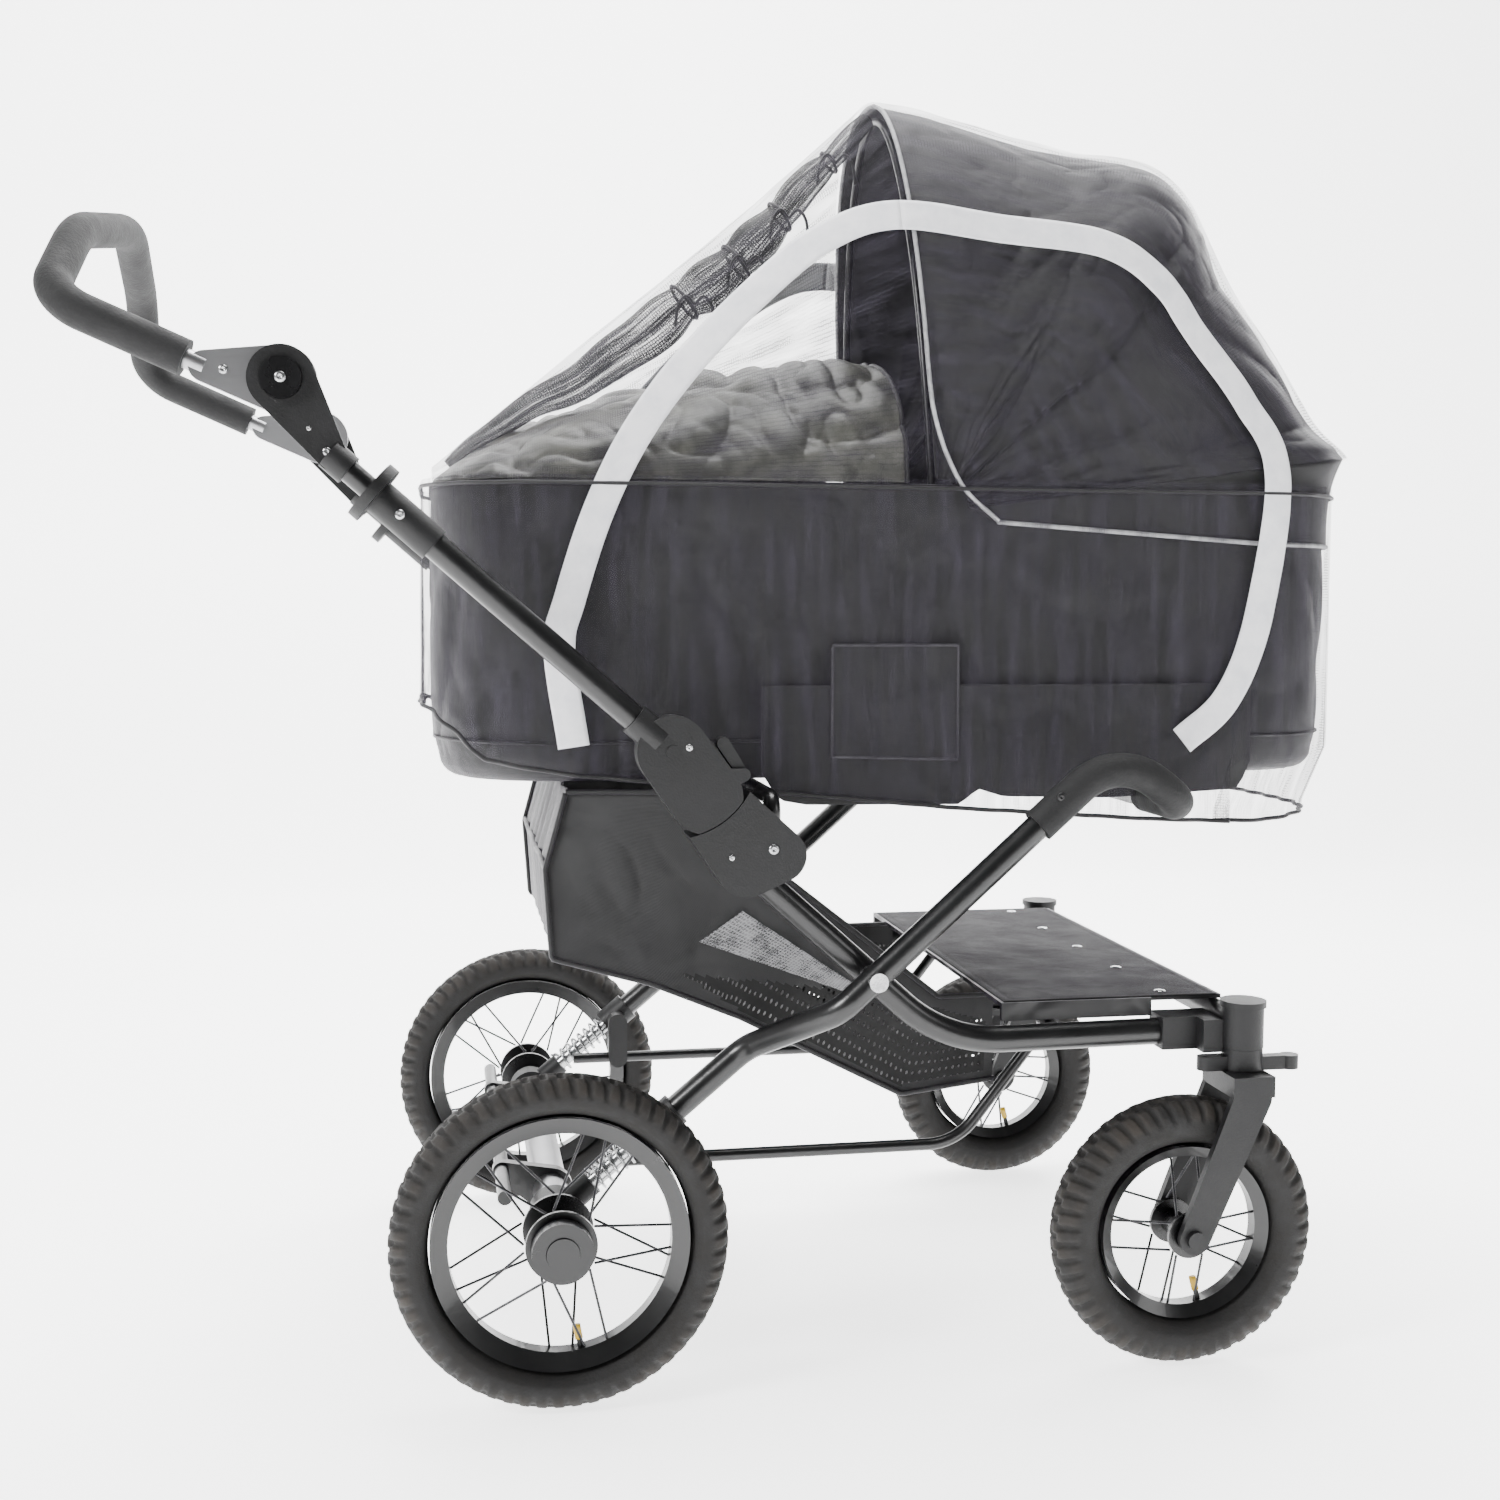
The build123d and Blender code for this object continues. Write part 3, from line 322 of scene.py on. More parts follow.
def add_node(tree: bpy.types.NodeTree, kind: str, feeds: dict | None = None, **settings) -> bpy.types.Node:
    """Add a shader node.

    Args:
        tree: the material's nodes.
        kind: the node's type.
        feeds: for each input's name or number, a socket to link or a value to set.
        settings: the node's own properties.

    Returns:
        The new node.
    """
    made = tree.nodes.new(kind)
    for key, value in settings.items():
        setattr(made, key, value)
    for key, value in (feeds or {}).items():
        if isinstance(value, bpy.types.NodeSocket):
            tree.links.new(value, made.inputs[key])
        else:
            made.inputs[key].default_value = value
    return made


@dataclass(frozen=True)
class Finish:
    """A finish: a base colour broken by a second one, a grain and a gloss.

    grain_mm is the real size of the surface's texture and bump its strength; patch_mm is the size of
    the second colour's patches, and stretch draws the grain out along one axis.
    """

    name: str
    colour: str
    second: str
    roughness: float
    grain_mm: float
    bump: float
    metallic: float = 0.0
    patch_mm: float = 60.0
    sheen: float = 0.0
    sheen_tint: str = "#b9a6cc"
    coat: float = 0.0
    specular: float = 0.5
    stretch: tuple[float, float, float] = (1.0, 1.0, 1.0)

    def start(self) -> tuple[bpy.types.Material, bpy.types.NodeTree, bpy.types.Node]:
        """Make the material with its shader's constant values set."""
        made = bpy.data.materials.new(self.name)
        made.use_nodes = True
        tree = made.node_tree
        shader = tree.nodes["Principled BSDF"]
        shader.inputs["Metallic"].default_value = self.metallic
        shader.inputs["Roughness"].default_value = self.roughness
        shader.inputs["Coat Weight"].default_value = self.coat
        shader.inputs["Sheen Weight"].default_value = self.sheen
        shader.inputs["Sheen Roughness"].default_value = 0.4
        shader.inputs["Sheen Tint"].default_value = linear(self.sheen_tint)
        shader.inputs["Specular IOR Level"].default_value = self.specular
        return made, tree, shader

    def coordinates(self, tree: bpy.types.NodeTree) -> bpy.types.NodeSocket:
        """Object coordinates, squeezed where the grain runs one way.

        Args:
            tree: the material's nodes.

        Returns:
            The coordinates' socket.
        """
        coord = add_node(tree, "ShaderNodeTexCoord").outputs["Object"]
        return add_node(tree, "ShaderNodeMapping", {"Vector": coord, "Scale": self.stretch}).outputs[0]

    def grain(self, tree: bpy.types.NodeTree, where: bpy.types.NodeSocket) -> bpy.types.NodeSocket:
        """Height of the fine texture: noise whose cells are one grain across.

        Args:
            tree: the material's nodes.
            where: the coordinates' socket.

        Returns:
            The height's socket.
        """
        noise = add_node(tree, "ShaderNodeTexNoise", {"Vector": where, "Scale": 1000 / self.grain_mm / 2,
                                                      "Detail": 3.0, "Roughness": 0.6})
        return noise.outputs["Fac"]

    def build(self) -> bpy.types.Material:
        """Build the material: patches of the second colour, a grain bump and uneven gloss."""
        made, tree, shader = self.start()
        where = self.coordinates(tree)
        patch = add_node(tree, "ShaderNodeTexNoise", {"Vector": where, "Scale": 1000 / self.patch_mm,
                                                      "Detail": 6.0, "Roughness": 0.65})
        patches = patch.outputs["Fac"]
        ramp = add_node(tree, "ShaderNodeMapRange", {"Value": patches, "From Min": 0.42, "From Max": 0.68})
        mix = self.mix(tree, ramp.outputs[0])
        gloss = add_node(tree, "ShaderNodeMapRange", {"Value": patches, "From Min": 0.3, "From Max": 0.7,
                                                      "To Min": self.roughness * 0.88,
                                                      "To Max": min(1.0, self.roughness * 1.15)})
        bump = add_node(tree, "ShaderNodeBump", {"Height": self.grain(tree, where), "Strength": self.bump,
                                                 "Distance": self.grain_mm * MM})
        tree.links.new(mix, shader.inputs["Base Color"])
        tree.links.new(gloss.outputs[0], shader.inputs["Roughness"])
        tree.links.new(bump.outputs[0], shader.inputs["Normal"])
        return made

    def mix(self, tree: bpy.types.NodeTree, factor: bpy.types.NodeSocket) -> bpy.types.NodeSocket:
        """Blend the finish's two colours.

        Args:
            tree: the material's nodes.
            factor: zero for the first colour, one for the second.

        Returns:
            The colour's socket.
        """
        ramp = add_node(tree, "ShaderNodeValToRGB", {"Fac": factor})
        ramp.color_ramp.elements[0].color = linear(self.colour)
        ramp.color_ramp.elements[1].color = linear(self.second)
        return ramp.outputs["Color"]


@dataclass(frozen=True)
class WovenCloth(Finish):
    """Plain-weave cloth: warp and weft threads on the piece's own UV map, over soft creases.

    thread_mm is the thread spacing, drawn coarser than the real 0.3 mm so that it shows.
    """

    thread_mm: float = 0.88
    weave: float = 1.0
    crease_mm: float = 45.0
    crease: float = 0.5

    def grain(self, tree: bpy.types.NodeTree, where: bpy.types.NodeSocket) -> bpy.types.NodeSocket:
        """Height of the weave: two crossed sine bands, added to slow noise for the creases.

        Args:
            tree: the material's nodes.
            where: the coordinates' socket.

        Returns:
            The height's socket.
        """
        uv = add_node(tree, "ShaderNodeUVMap", uv_map="cloth").outputs[0]
        scale = 2 * math.pi / WAVE_RADIANS / (self.thread_mm * MM)
        warp, weft = (add_node(tree, "ShaderNodeTexWave",
                               {"Vector": uv, "Scale": scale, "Distortion": 0.6, "Detail": 1.0},
                               bands_direction=axis).outputs["Fac"] for axis in "XY")
        both = add_node(tree, "ShaderNodeMath", {0: warp, 1: weft}, operation="MULTIPLY").outputs[0]
        weave = add_node(tree, "ShaderNodeMath", {0: both, 1: self.weave}, operation="MULTIPLY").outputs[0]
        fold = add_node(tree, "ShaderNodeTexNoise", {"Vector": where, "Scale": 1000 / self.crease_mm,
                                                     "Detail": 1.5, "Roughness": 0.5,
                                                     "Distortion": 0.8}).outputs["Fac"]
        tall = add_node(tree, "ShaderNodeMath", {0: fold, 1: self.crease * 20},
                        operation="MULTIPLY").outputs[0]
        return add_node(tree, "ShaderNodeMath", {0: weave, 1: tall}, operation="ADD").outputs[0]


@dataclass(frozen=True)
class NetCloth(Finish):
    """Fine knitted net: thin dark threads with open holes, denser where it gathers in folds, with a painted
    highlight of its lighter second colour along the folds.

    cover is the share of the surface that the threads hide.
    """

    cover: float = 0.3
    fold_mm: float = 25.0

    def build(self) -> bpy.types.Material:
        """Build the net: see-through by its cover, broken into streaks along the folds, with its second
        colour painted on the folds as a highlight.
        """
        made, tree, shader = self.start()
        uv = add_node(tree, "ShaderNodeUVMap", uv_map="cloth").outputs[0]
        squeeze = add_node(tree, "ShaderNodeMapping", {"Vector": uv, "Scale": self.stretch}).outputs[0]
        fold = add_node(tree, "ShaderNodeTexNoise", {"Vector": squeeze, "Scale": 1000 / self.fold_mm,
                                                     "Detail": 5.0, "Roughness": 0.6}).outputs["Fac"]
        cells = add_node(tree, "ShaderNodeTexVoronoi", {"Vector": uv, "Scale": 1000 / self.grain_mm,
                                                        "Randomness": 0.3},
                         feature="DISTANCE_TO_EDGE").outputs["Distance"]
        thread = add_node(tree, "ShaderNodeMapRange", {"Value": cells, "From Min": 0.04, "From Max": 0.2,
                                                       "To Min": self.cover * 1.5,
                                                       "To Max": self.cover * 0.55}).outputs[0]
        streak = add_node(tree, "ShaderNodeMapRange", {"Value": fold, "From Min": 0.4, "From Max": 0.72,
                                                       "To Min": 0.55, "To Max": 2.6}).outputs[0]
        alpha = add_node(tree, "ShaderNodeMath", {0: thread, 1: streak}, operation="MULTIPLY",
                         use_clamp=True).outputs[0]
        tree.links.new(alpha, shader.inputs["Alpha"])
        # Painted highlight: the fold noise blends in the lighter second colour where the net gathers in
        # folds.
        tree.links.new(self.mix(tree, fold), shader.inputs["Base Color"])
        return made


@dataclass(frozen=True)
class PerforatedCloth(WovenCloth):
    """Black fabric with rows of small punched slots, 4.5 mm by 2.2 mm, on a pitch of 12 mm by 6 mm."""

    pitch_mm: tuple[float, float] = (12.0, 6.0)

    def build(self) -> bpy.types.Material:
        """Build the cloth and cut the slots with alpha."""
        made = super().build()
        tree, shader = made.node_tree, made.node_tree.nodes["Principled BSDF"]
        uv = add_node(tree, "ShaderNodeUVMap", uv_map="cloth").outputs[0]
        pitch = (1000 / self.pitch_mm[0], 1000 / self.pitch_mm[1], 1)
        grid = add_node(tree, "ShaderNodeMapping", {"Vector": uv, "Scale": pitch}).outputs[0]
        cells = add_node(tree, "ShaderNodeTexVoronoi", {"Vector": grid, "Scale": 1.0, "Randomness": 0.12},
                         feature="F1").outputs["Distance"]
        hole = add_node(tree, "ShaderNodeMapRange", {"Value": cells, "From Min": 0.17,
                                                     "From Max": 0.21}).outputs[0]
        tree.links.new(hole, shader.inputs["Alpha"])
        return made


@dataclass(frozen=True)
class TreadRubber(Finish):
    """Moulded tyre rubber, worn brown and dusty where the "wear" attribute says it met the road."""

    dust: str = "#2a2520"

    def build(self) -> bpy.types.Material:
        """Build the rubber, then mix road dust in by the wear attribute and fine noise."""
        made = super().build()
        tree, shader = made.node_tree, made.node_tree.nodes["Principled BSDF"]
        wear = add_node(tree, "ShaderNodeAttribute", attribute_name="wear").outputs["Fac"]
        base = shader.inputs["Base Color"].links[0].from_socket
        dusty = add_node(tree, "ShaderNodeMix", data_type="RGBA")
        tree.links.new(wear, dusty.inputs[0])
        tree.links.new(base, dusty.inputs[6])
        dusty.inputs[7].default_value = linear(self.dust)
        tree.links.new(dusty.outputs[2], shader.inputs["Base Color"])
        return made


class Finishes:
    """Every finish of the stroller, built once and handed out by what it is."""

    def __init__(self) -> None:
        """Build all the materials."""
        made = (
            # Polyester powder coat on steel tube: satin, orange peel 2 mm across.
            Finish("black_powder_coat", "#060607", "#0b0b0c", 0.33, 2.2, 0.1, coat=0.12),
            # Glass-filled nylon, injection moulded with a 1 mm spark-eroded grain.
            Finish("moulded_black_nylon", "#0a0a0b", "#0f0f11", 0.5, 1.1, 0.25, specular=0.4),
            Finish("moulded_black_abs", "#070708", "#0c0c0e", 0.28, 1.6, 0.06),
            # Closed-cell EVA foam: matt, full of pores 1.6 mm apart.
            Finish("black_eva_foam", "#0e0e0f", "#171718", 0.75, 1.6, 0.45, patch_mm=25, specular=0.4),
            # Satin aluminium extrusion, drawn lengthways.
            Finish("satin_aluminium", "#a4a4a6", "#9a9a9c", 0.36, 1.0, 0.1, 1.0, stretch=(0.1, 1, 1)),
            Finish("zinc_plated_steel", "#c4c5c6", "#9b9c9e", 0.26, 1.2, 0.08, 1.0, 12),
            Finish("dark_spoke_wire", "#333335", "#4c4c4e", 0.3, 0.8, 0.1, 1.0, 15),
            Finish("black_rim_enamel", "#050506", "#0b0b0c", 0.3, 3.0, 0.05, coat=0.25),
            # Moulded tyre rubber, scuffed in patches 18 mm across.
            TreadRubber("tyre_rubber", "#0b0a0a", "#151311", 0.7, 1.3, 0.35, patch_mm=18, specular=0.4),
            # Black polyester canvas: its creases catch a purple-grey sheen.
            WovenCloth("black_canvas", "#040405", "#0a090c", 0.44, 1.4, 0.5, patch_mm=110, sheen=0.1,
                       specular=0.45,
                       crease_mm=80, crease=1.0),
            WovenCloth("black_lining", "#060606", "#0b0b0c", 0.75, 1.4, 0.3, sheen=0.06, specular=0.25),
            # Warm grey satin-weave polyester, crumpled and shiny on its folds.
            WovenCloth("grey_satin", "#3a3a36", "#62625b", 0.36, 1.2, 0.35, patch_mm=55, sheen=0.12,
                       sheen_tint="#ffffff", weave=0.25, crease=0.4),
            WovenCloth("white_cotton_tape", "#ededf0", "#dcdde2", 0.8, 1.5, 0.4, patch_mm=30, crease=0.2),
            WovenCloth("light_grey_piping", "#b4b4b6", "#8e8e91", 0.6, 1.2, 0.4, patch_mm=12),
            WovenCloth("dim_piping", "#2c2a2f", "#3b383f", 0.6, 1.2, 0.3, patch_mm=12),
            PerforatedCloth("perforated_cloth", "#060606", "#0d0d0e", 0.6, 1.4, 0.3, specular=0.3),
            # For the nets, the second colour is a painted highlight along the folds, not a colour of the
            # thread.
            NetCloth("black_net", "#0d0b0f", "#3a3543", 0.8, 2.6, 0.0, cover=0.24, stretch=(0.25, 1.6, 1)),
            NetCloth("gathered_net", "#060607", "#141416", 0.7, 2.6, 0.0, cover=0.8, stretch=(0.15, 4, 1)),
            NetCloth("mesh_window", "#6c6c6e", "#8c8c8e", 0.7, 3.0, 0.0, cover=0.75, stretch=(1, 1, 1)),
            Finish("yellow_cap_plastic", "#c9a52a", "#b8921f", 0.4, 1.0, 0.05),
        )
        self.by_name = {finish.name: finish.build() for finish in made}

    def region(self, piece: bpy.types.Object, name: str, corners: Sequence[Sequence[float]]) -> None:
        """Give a second finish to the faces whose centres lie in a convex outline.

        Args:
            piece: a piece that has its first finish.
            name: the second finish.
            corners: x and z of the outline, in millimetres, one way round.
        """
        piece.data.materials.append(self.by_name[name])
        centres = np.empty(len(piece.data.polygons) * 3)
        piece.data.polygons.foreach_get("center", centres)
        xz = centres.reshape(-1, 3)[:, (0, 2)]
        ring = place(np.array([(x, 0, z) for x, z in corners]))[:, (0, 2)]
        step = np.roll(ring, -1, 0) - ring
        off = xz[:, None] - ring[None]
        turn = step[None, :, 0] * off[..., 1] - step[None, :, 1] * off[..., 0]
        inside = (turn > 0).all(axis=1) | (turn < 0).all(axis=1)
        index = np.zeros(len(inside), dtype=np.int32)
        piece.data.polygons.foreach_get("material_index", index)
        index[inside] = len(piece.data.materials) - 1
        piece.data.polygons.foreach_set("material_index", index)

    def dress(self, piece: bpy.types.Object, name: str, body: str | None = None) -> bpy.types.Object:
        """Put one finish on a piece, in place of whatever it has, and let it ride.

        Args:
            piece: the piece.
            name: the finish.
            body: the body that the piece moves with, or None to leave it without one.

        Returns:
            The same piece.
        """
        piece.data.materials.clear()
        piece.data.materials.append(self.by_name[name])
        if body is not None:
            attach(piece, body)
        return piece


class Maker:
    """Base of the classes that each make one part of the stroller."""

    def __init__(self, finishes: Finishes) -> None:
        """Keep the finishes.

        Args:
            finishes: every finish, by name.
        """
        self.finishes = finishes


# ------------------------------------------------------------------ wheels and small hardware


@dataclass(frozen=True)
class Tyre:
    """A knobbly tyre: a rounded carcass with staggered blocks.

    Radii and widths are in millimetres; blocks is the number of block rows round the tyre.
    """

    end: str
    radius: float
    seat: float
    width: float
    blocks: int
    x: float

    def build(self, side: Side, finishes: Finishes) -> bpy.types.Object:
        """Make the tyre as one grid: height = carcass + block height where a block stands.

        Args:
            side: which wheel of the axle.
            finishes: every finish, by name.

        Returns:
            The tyre.
        """
        node = f"{self.end}_{side.name.lower()}_tyre"
        low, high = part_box(node)
        mid = (low[1] + high[1]) / 2 / MM
        around, across = self.blocks * 10, 56
        turn = np.linspace(0, 2 * math.pi, around, endpoint=False)
        sweep_angle = np.linspace(0, 2 * math.pi, across, endpoint=False)
        depth = 3.8  # height of a block
        tall = (self.radius - self.seat / 2) / 2
        middle = self.seat / 2 + tall
        u = np.cos(sweep_angle) * (tall - depth * 0.35)
        v = np.sin(sweep_angle)
        v = np.sign(v) * np.abs(v) ** 0.86 * (self.width / 2 - 1.2)
        cell = turn * self.blocks / (2 * math.pi)
        row = np.abs(v) / (self.width / 2)
        shift = np.where(np.abs(v) < self.width * 0.16, 0.0, 0.5)
        phase = (cell[:, None] + shift[None, :] + 0.35 * row[None, :]) % 1.0
        block = 1 / (1 + np.exp(-(0.31 - np.abs(phase - 0.5)) * 60))
        rows = 1 - np.exp(-((np.abs(v) - self.width * 0.17) / 1.3) ** 2) - 0.9 * np.exp(-(v / 1.0) ** 2)
        tread = np.clip((u - tall * 0.05) / (tall * 0.3), 0, 1) * np.clip(rows, 0, 1)
        lift = depth * (block * tread[None, :]) - depth * 0.65 * tread[None, :]
        rib = 0.5 * np.exp(-((u + tall * 0.35) / 1.2) ** 2)
        r = middle + u[None, :] + lift * np.clip(np.cos(sweep_angle), 0, 1)[None, :] ** 0.5
        bulge = 0.45 * lift * (1 - np.cos(sweep_angle)[None, :] ** 2) + rib[None, :]
        y = mid + v[None, :] + np.sign(v)[None, :] * bulge
        r = np.minimum(r, self.radius)
        grid = np.stack([self.x + r * np.cos(turn)[:, None], y, self.radius + r * np.sin(turn)[:, None]],
                        axis=-1)
        tyre = surface(f"{self.end}_tread_{side.name.lower()}", grid, True, True)
        wear = tyre.data.attributes.new("wear", "FLOAT", "POINT")
        worn = np.clip(tread[None, :] * (0.25 + 0.75 * block), 0, 1) * (0.4 + 0.35 * ripples(grid, 30, 5))
        wear.data.foreach_set("value", np.clip(worn, 0, 1).reshape(-1))
        finishes.dress(tyre, "tyre_rubber", f"{self.end}_wheel_{side.name.lower()}")
        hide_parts(node)
        return tyre


@dataclass(frozen=True)
class Valve:
    """A tyre valve: a black stem on the rim with a yellow cap, pointing at the hub."""

    end: str
    x: float
    centre_z: float
    rim: float
    clock: float

    def build(self, side: Side, finishes: Finishes) -> None:
        """Make the stem and the cap in the rim's middle plane.

        Args:
            side: which wheel of the axle.
            finishes: every finish, by name.
        """
        low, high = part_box(f"{self.end}_{side.name.lower()}_rim")
        y = (low[1] + high[1]) / 2 / MM
        aim = np.array([math.cos(self.clock), 0.0, math.sin(self.clock)])
        centre = np.array([self.x, y, self.centre_z])
        for name, start, reach, radius, finish in (("valve_stem", 2.0, 20, 2.6, "moulded_black_nylon"),
                                                   ("valve_cap", -15.0, 13, 3.6, "yellow_cap_plastic")):
            outer = centre + aim * (self.rim + start)
            part = sweep(f"{self.end}_{name}_{side.name.lower()}",
                         np.linspace(outer, outer - aim * reach, 5), radius, 12)
            finishes.dress(part, finish, f"{self.end}_wheel_{side.name.lower()}")


def coil_spring(finishes: Finishes) -> None:
    """Replace the plain suspension springs with wire helices.

    Each stands on its strut, which leans by 39.8 degrees: its length follows from its box.

    Args:
        finishes: every finish, by name.
    """
    lean, radius, wire, travel = math.radians(39.8), 14.0, 1.5, 12.0
    low, high = (np.array(c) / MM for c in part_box("suspension_springs"))
    length = (high[0] - low[0] - 2 * radius * math.sin(lean)) / math.cos(lean)
    middle = np.array([(low[0] + high[0]) / 2 - REAR_AXLE_X / MM, 0, (low[2] + high[2]) / 2])
    axis = np.array([math.cos(lean), 0, math.sin(lean)])
    across = np.array([-math.sin(lean), 0, math.cos(lean)])
    turns = np.linspace(0, 7.5, 150)[:, None]
    for side in Side:
        centre = middle + np.array([0, side.value * (high[1] - radius), 0])
        path = centre + axis * (turns / turns[-1] - 0.5) * (length - 2 * wire) + (radius - wire) * (
            across * np.cos(2 * math.pi * turns) + np.array([0, 1, 0]) * np.sin(2 * math.pi * turns))
        coil = sweep(f"suspension_coil_{side.name.lower()}", path, wire, 8)
        finishes.dress(coil, "zinc_plated_steel", "chassis")
        top = place(centre + axis * length / 2)
        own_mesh(coil)
        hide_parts("suspension_springs")


@dataclass(frozen=True)
class ScrewHead:
    """A pan-head screw with a recess, on the outside face of a CAD node.

    at is its x and z in millimetres; node and body take the side's name in place of {side}.
    """

    name: str
    node: str
    body: str
    at: tuple[float, float]
    radius: float = 4.0
    height: float = 1.8
    finish: str = "zinc_plated_steel"

    def build(self, side: Side, finishes: Finishes) -> None:
        """Find the face from outside and seat the head 0.4 mm into it.

        Args:
            side: the stroller's side.
            finishes: every finish, by name.
        """
        word = side.name.lower()
        start = place(np.array([self.at[0], side.value * 400.0, self.at[1]]))
        hit, spot, _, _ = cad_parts[self.node.format(side=word)].ray_cast(start, (0, -side.value, 0))
        if not hit:
            LOG.warning("%s finds no face", self.name)
            return
        r, h = self.radius, self.height
        profile = [(0, -0.4), (r, -0.4), (r, h * 0.35), (r * 0.8, h * 0.85), (r * 0.5, h), (r * 0.32, h),
                   (r * 0.28, h * 0.4), (0, h * 0.4)]
        head = turned(f"{self.name}_{word}", profile, (self.at[0], spot[1] / MM, self.at[1]), side.value, 28)
        finishes.dress(head, self.finish, self.body.format(side=word))


# ------------------------------------------------------------------ the cot's shape


@dataclass(frozen=True)
class CotShape:
    """The cot's plan: a rounded rectangle between two ends, with its rim and floor heights."""

    back: float = -110.0
    front: float = 835.0
    half: float = 195.0
    corner: float = 120.0
    rim: float = 857.0

    def plan(self, count: int, inset: float = 0.0) -> np.ndarray:
        """Walk round the plan from the middle of the back end.

        Args:
            count: number of points.
            inset: distance inside the outline.

        Returns:
            x and y of each point, evenly spaced.
        """
        r = self.corner - inset
        x0, x1 = self.back + self.corner, self.front - self.corner
        y0 = self.half - self.corner
        arc = np.linspace(0, math.pi / 2, 25)
        pieces = [np.array([[self.back + inset, 0.0]])]
        for cx, cy, start in ((x0, -y0, math.pi), (x1, -y0, 1.5 * math.pi), (x1, y0, 0.0),
                              (x0, y0, 0.5 * math.pi)):
            pieces.append(np.stack([cx + r * np.cos(start + arc), cy + r * np.sin(start + arc)], axis=1))
        line = np.concatenate([*pieces, pieces[0]])
        run = np.concatenate([[0], np.cumsum(np.linalg.norm(np.diff(line, axis=0), axis=1))])
        want = np.linspace(0, run[-1], count, endpoint=False)
        return np.stack([np.interp(want, run, line[:, i]) for i in (0, 1)], axis=1)

    def length(self) -> float:
        """Length once round the plan."""
        return 2 * (self.front - self.back + 2 * self.half - 4 * self.corner) + 2 * math.pi * self.corner

    def middle(self) -> np.ndarray:
        """x and y of the plan's middle."""
        return np.array([(self.front + self.back) / 2, 0.0])

    def drawn_in(self, ring: np.ndarray, shares: Sequence[float]) -> list[np.ndarray]:
        """Copy a level ring, drawn in towards the cot's middle.

        Args:
            ring: x, y, z of its points.
            shares: how much of its size each copy keeps.

        Returns:
            One ring for each share.
        """
        middle = np.array([*self.middle(), 0.0])
        return [middle + (ring - middle) * (share, share, 1.0) for share in shares]


COT = CotShape()
FOOT_X, RIM_Z = COT.back, COT.rim


class Cot(Maker):
    """The cot's fabric outside and in, its piping and its mattress."""

    def shell(self) -> None:
        """Fabric over the shell: inner wall, rim, creased outer wall, rounded floor edge and floor."""
        around, under = 420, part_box("cot_shell")[0][2] / MM + 1.2
        insets = np.arange(0, 60, 4.0)
        outline = [COT.plan(around, inset) for inset in insets]
        levels = smooth_curve([(10.5, 700), (10.0, 780), (9.0, COT.rim - 7), (6.5, COT.rim - 1.5),
                               (4.5, COT.rim - 0.6),
                               (2.0, COT.rim - 2), (0.7, COT.rim - 8), (0.9, 760), (0.9, 680), (1.2, 620),
                               (4.0, 590), (12, 573), (26, under + 0.4), (52, under)], 90)
        rings = []
        for inset, z in levels:
            plan = np.array([np.interp(inset, insets, [o[i, k] for o in outline])
                             for i in range(around) for k in (0, 1)]).reshape(around, 2)
            rings.append(np.column_stack([plan, np.full(around, z)]))
        grid = np.array(rings)
        inward = COT.middle() - grid[..., :2]
        inward /= np.linalg.norm(inward, axis=-1)[..., None]
        folds = creases(grid, 170, 11, (1.0, 1.0, 2.0)) * 7.5 + creases(grid, 62, 12,
                                                                        (1.3, 1, 1)) * 2.6 - 4.6
        hang = np.clip((COT.rim - 12 - grid[..., 2]) / 90, 0, 1) * np.clip(4 - levels[:, :1] / 1.5, 0, 1)
        grid[..., :2] += inward * (0.25 + np.clip(folds, -3.2, 4.2) * hang)[..., None]
        shell = surface("cot_fabric", grid, False, True)
        self.finishes.dress(shell, "black_canvas", "cot")
        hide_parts("cot_shell")
        base = [np.column_stack([COT.plan(around, inset), np.full(around, under)]) for inset in (52, 80,
                                                                                                 110)]
        floor = np.array(base + COT.drawn_in(base[-1], (0.55, 0.1)))
        floor[..., 2] += 0.4 * ripples(floor, 60, 3)
        self.finishes.dress(surface("cot_floor_fabric", floor, False, True), "black_canvas", "cot")

    def piping_round(self) -> None:
        """Piping just under the rim and along the foot of the wall."""
        for name, inset, z, radius in (("rim_piping", 0.6, COT.rim - 3.0, 2.0),
                                       ("base_piping", 1.4, 606.0, 1.6)):
            line = np.column_stack([COT.plan(300, inset), np.zeros(300)])
            line[:, 2] = z + 0.5 * ripples(line, 150, 21)
            self.finishes.dress(sweep(name, line, radius, 8, True), "black_canvas", "cot")

    def cushion(self) -> None:
        """Mattress: a boxed pad with piped edges and a quilted top."""
        low, high = (np.array(c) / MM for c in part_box("mattress"))
        inset = COT.half - high[1] + 0.4
        profile = smooth_curve([(60, low[2] + 0.6), (12, low[2] + 0.8), (2, low[2] + 5),
                                (0.3, (low[2] + high[2]) / 2), (2, high[2] - 7), (10, high[2] - 2.5),
                                (30, high[2] - 1.0), (110, high[2] - 0.8)], 46)
        rings = [np.column_stack([COT.plan(240, inset + step), np.full(240, z)]) for step, z in profile]
        rings += COT.drawn_in(rings[-1], (0.75, 0.5, 0.25, 0.02))
        grid = np.array(rings)
        top = np.clip((grid[..., 2] - high[2] + 12) / 10, 0, 1)
        turns = grid * math.pi / 95  # the quilting's pitch is 95 mm
        quilt = np.abs(np.sin(turns[..., 0])) * np.abs(np.sin(turns[..., 1]))
        grid[..., 2] += top * (-3.0 * (1 - quilt ** 0.4) - 0.6 + 0.5 * ripples(grid, 55, 31))
        pad = surface("mattress_pad", grid, False, True)
        self.finishes.dress(pad, "black_lining", "cot")
        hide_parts("mattress")


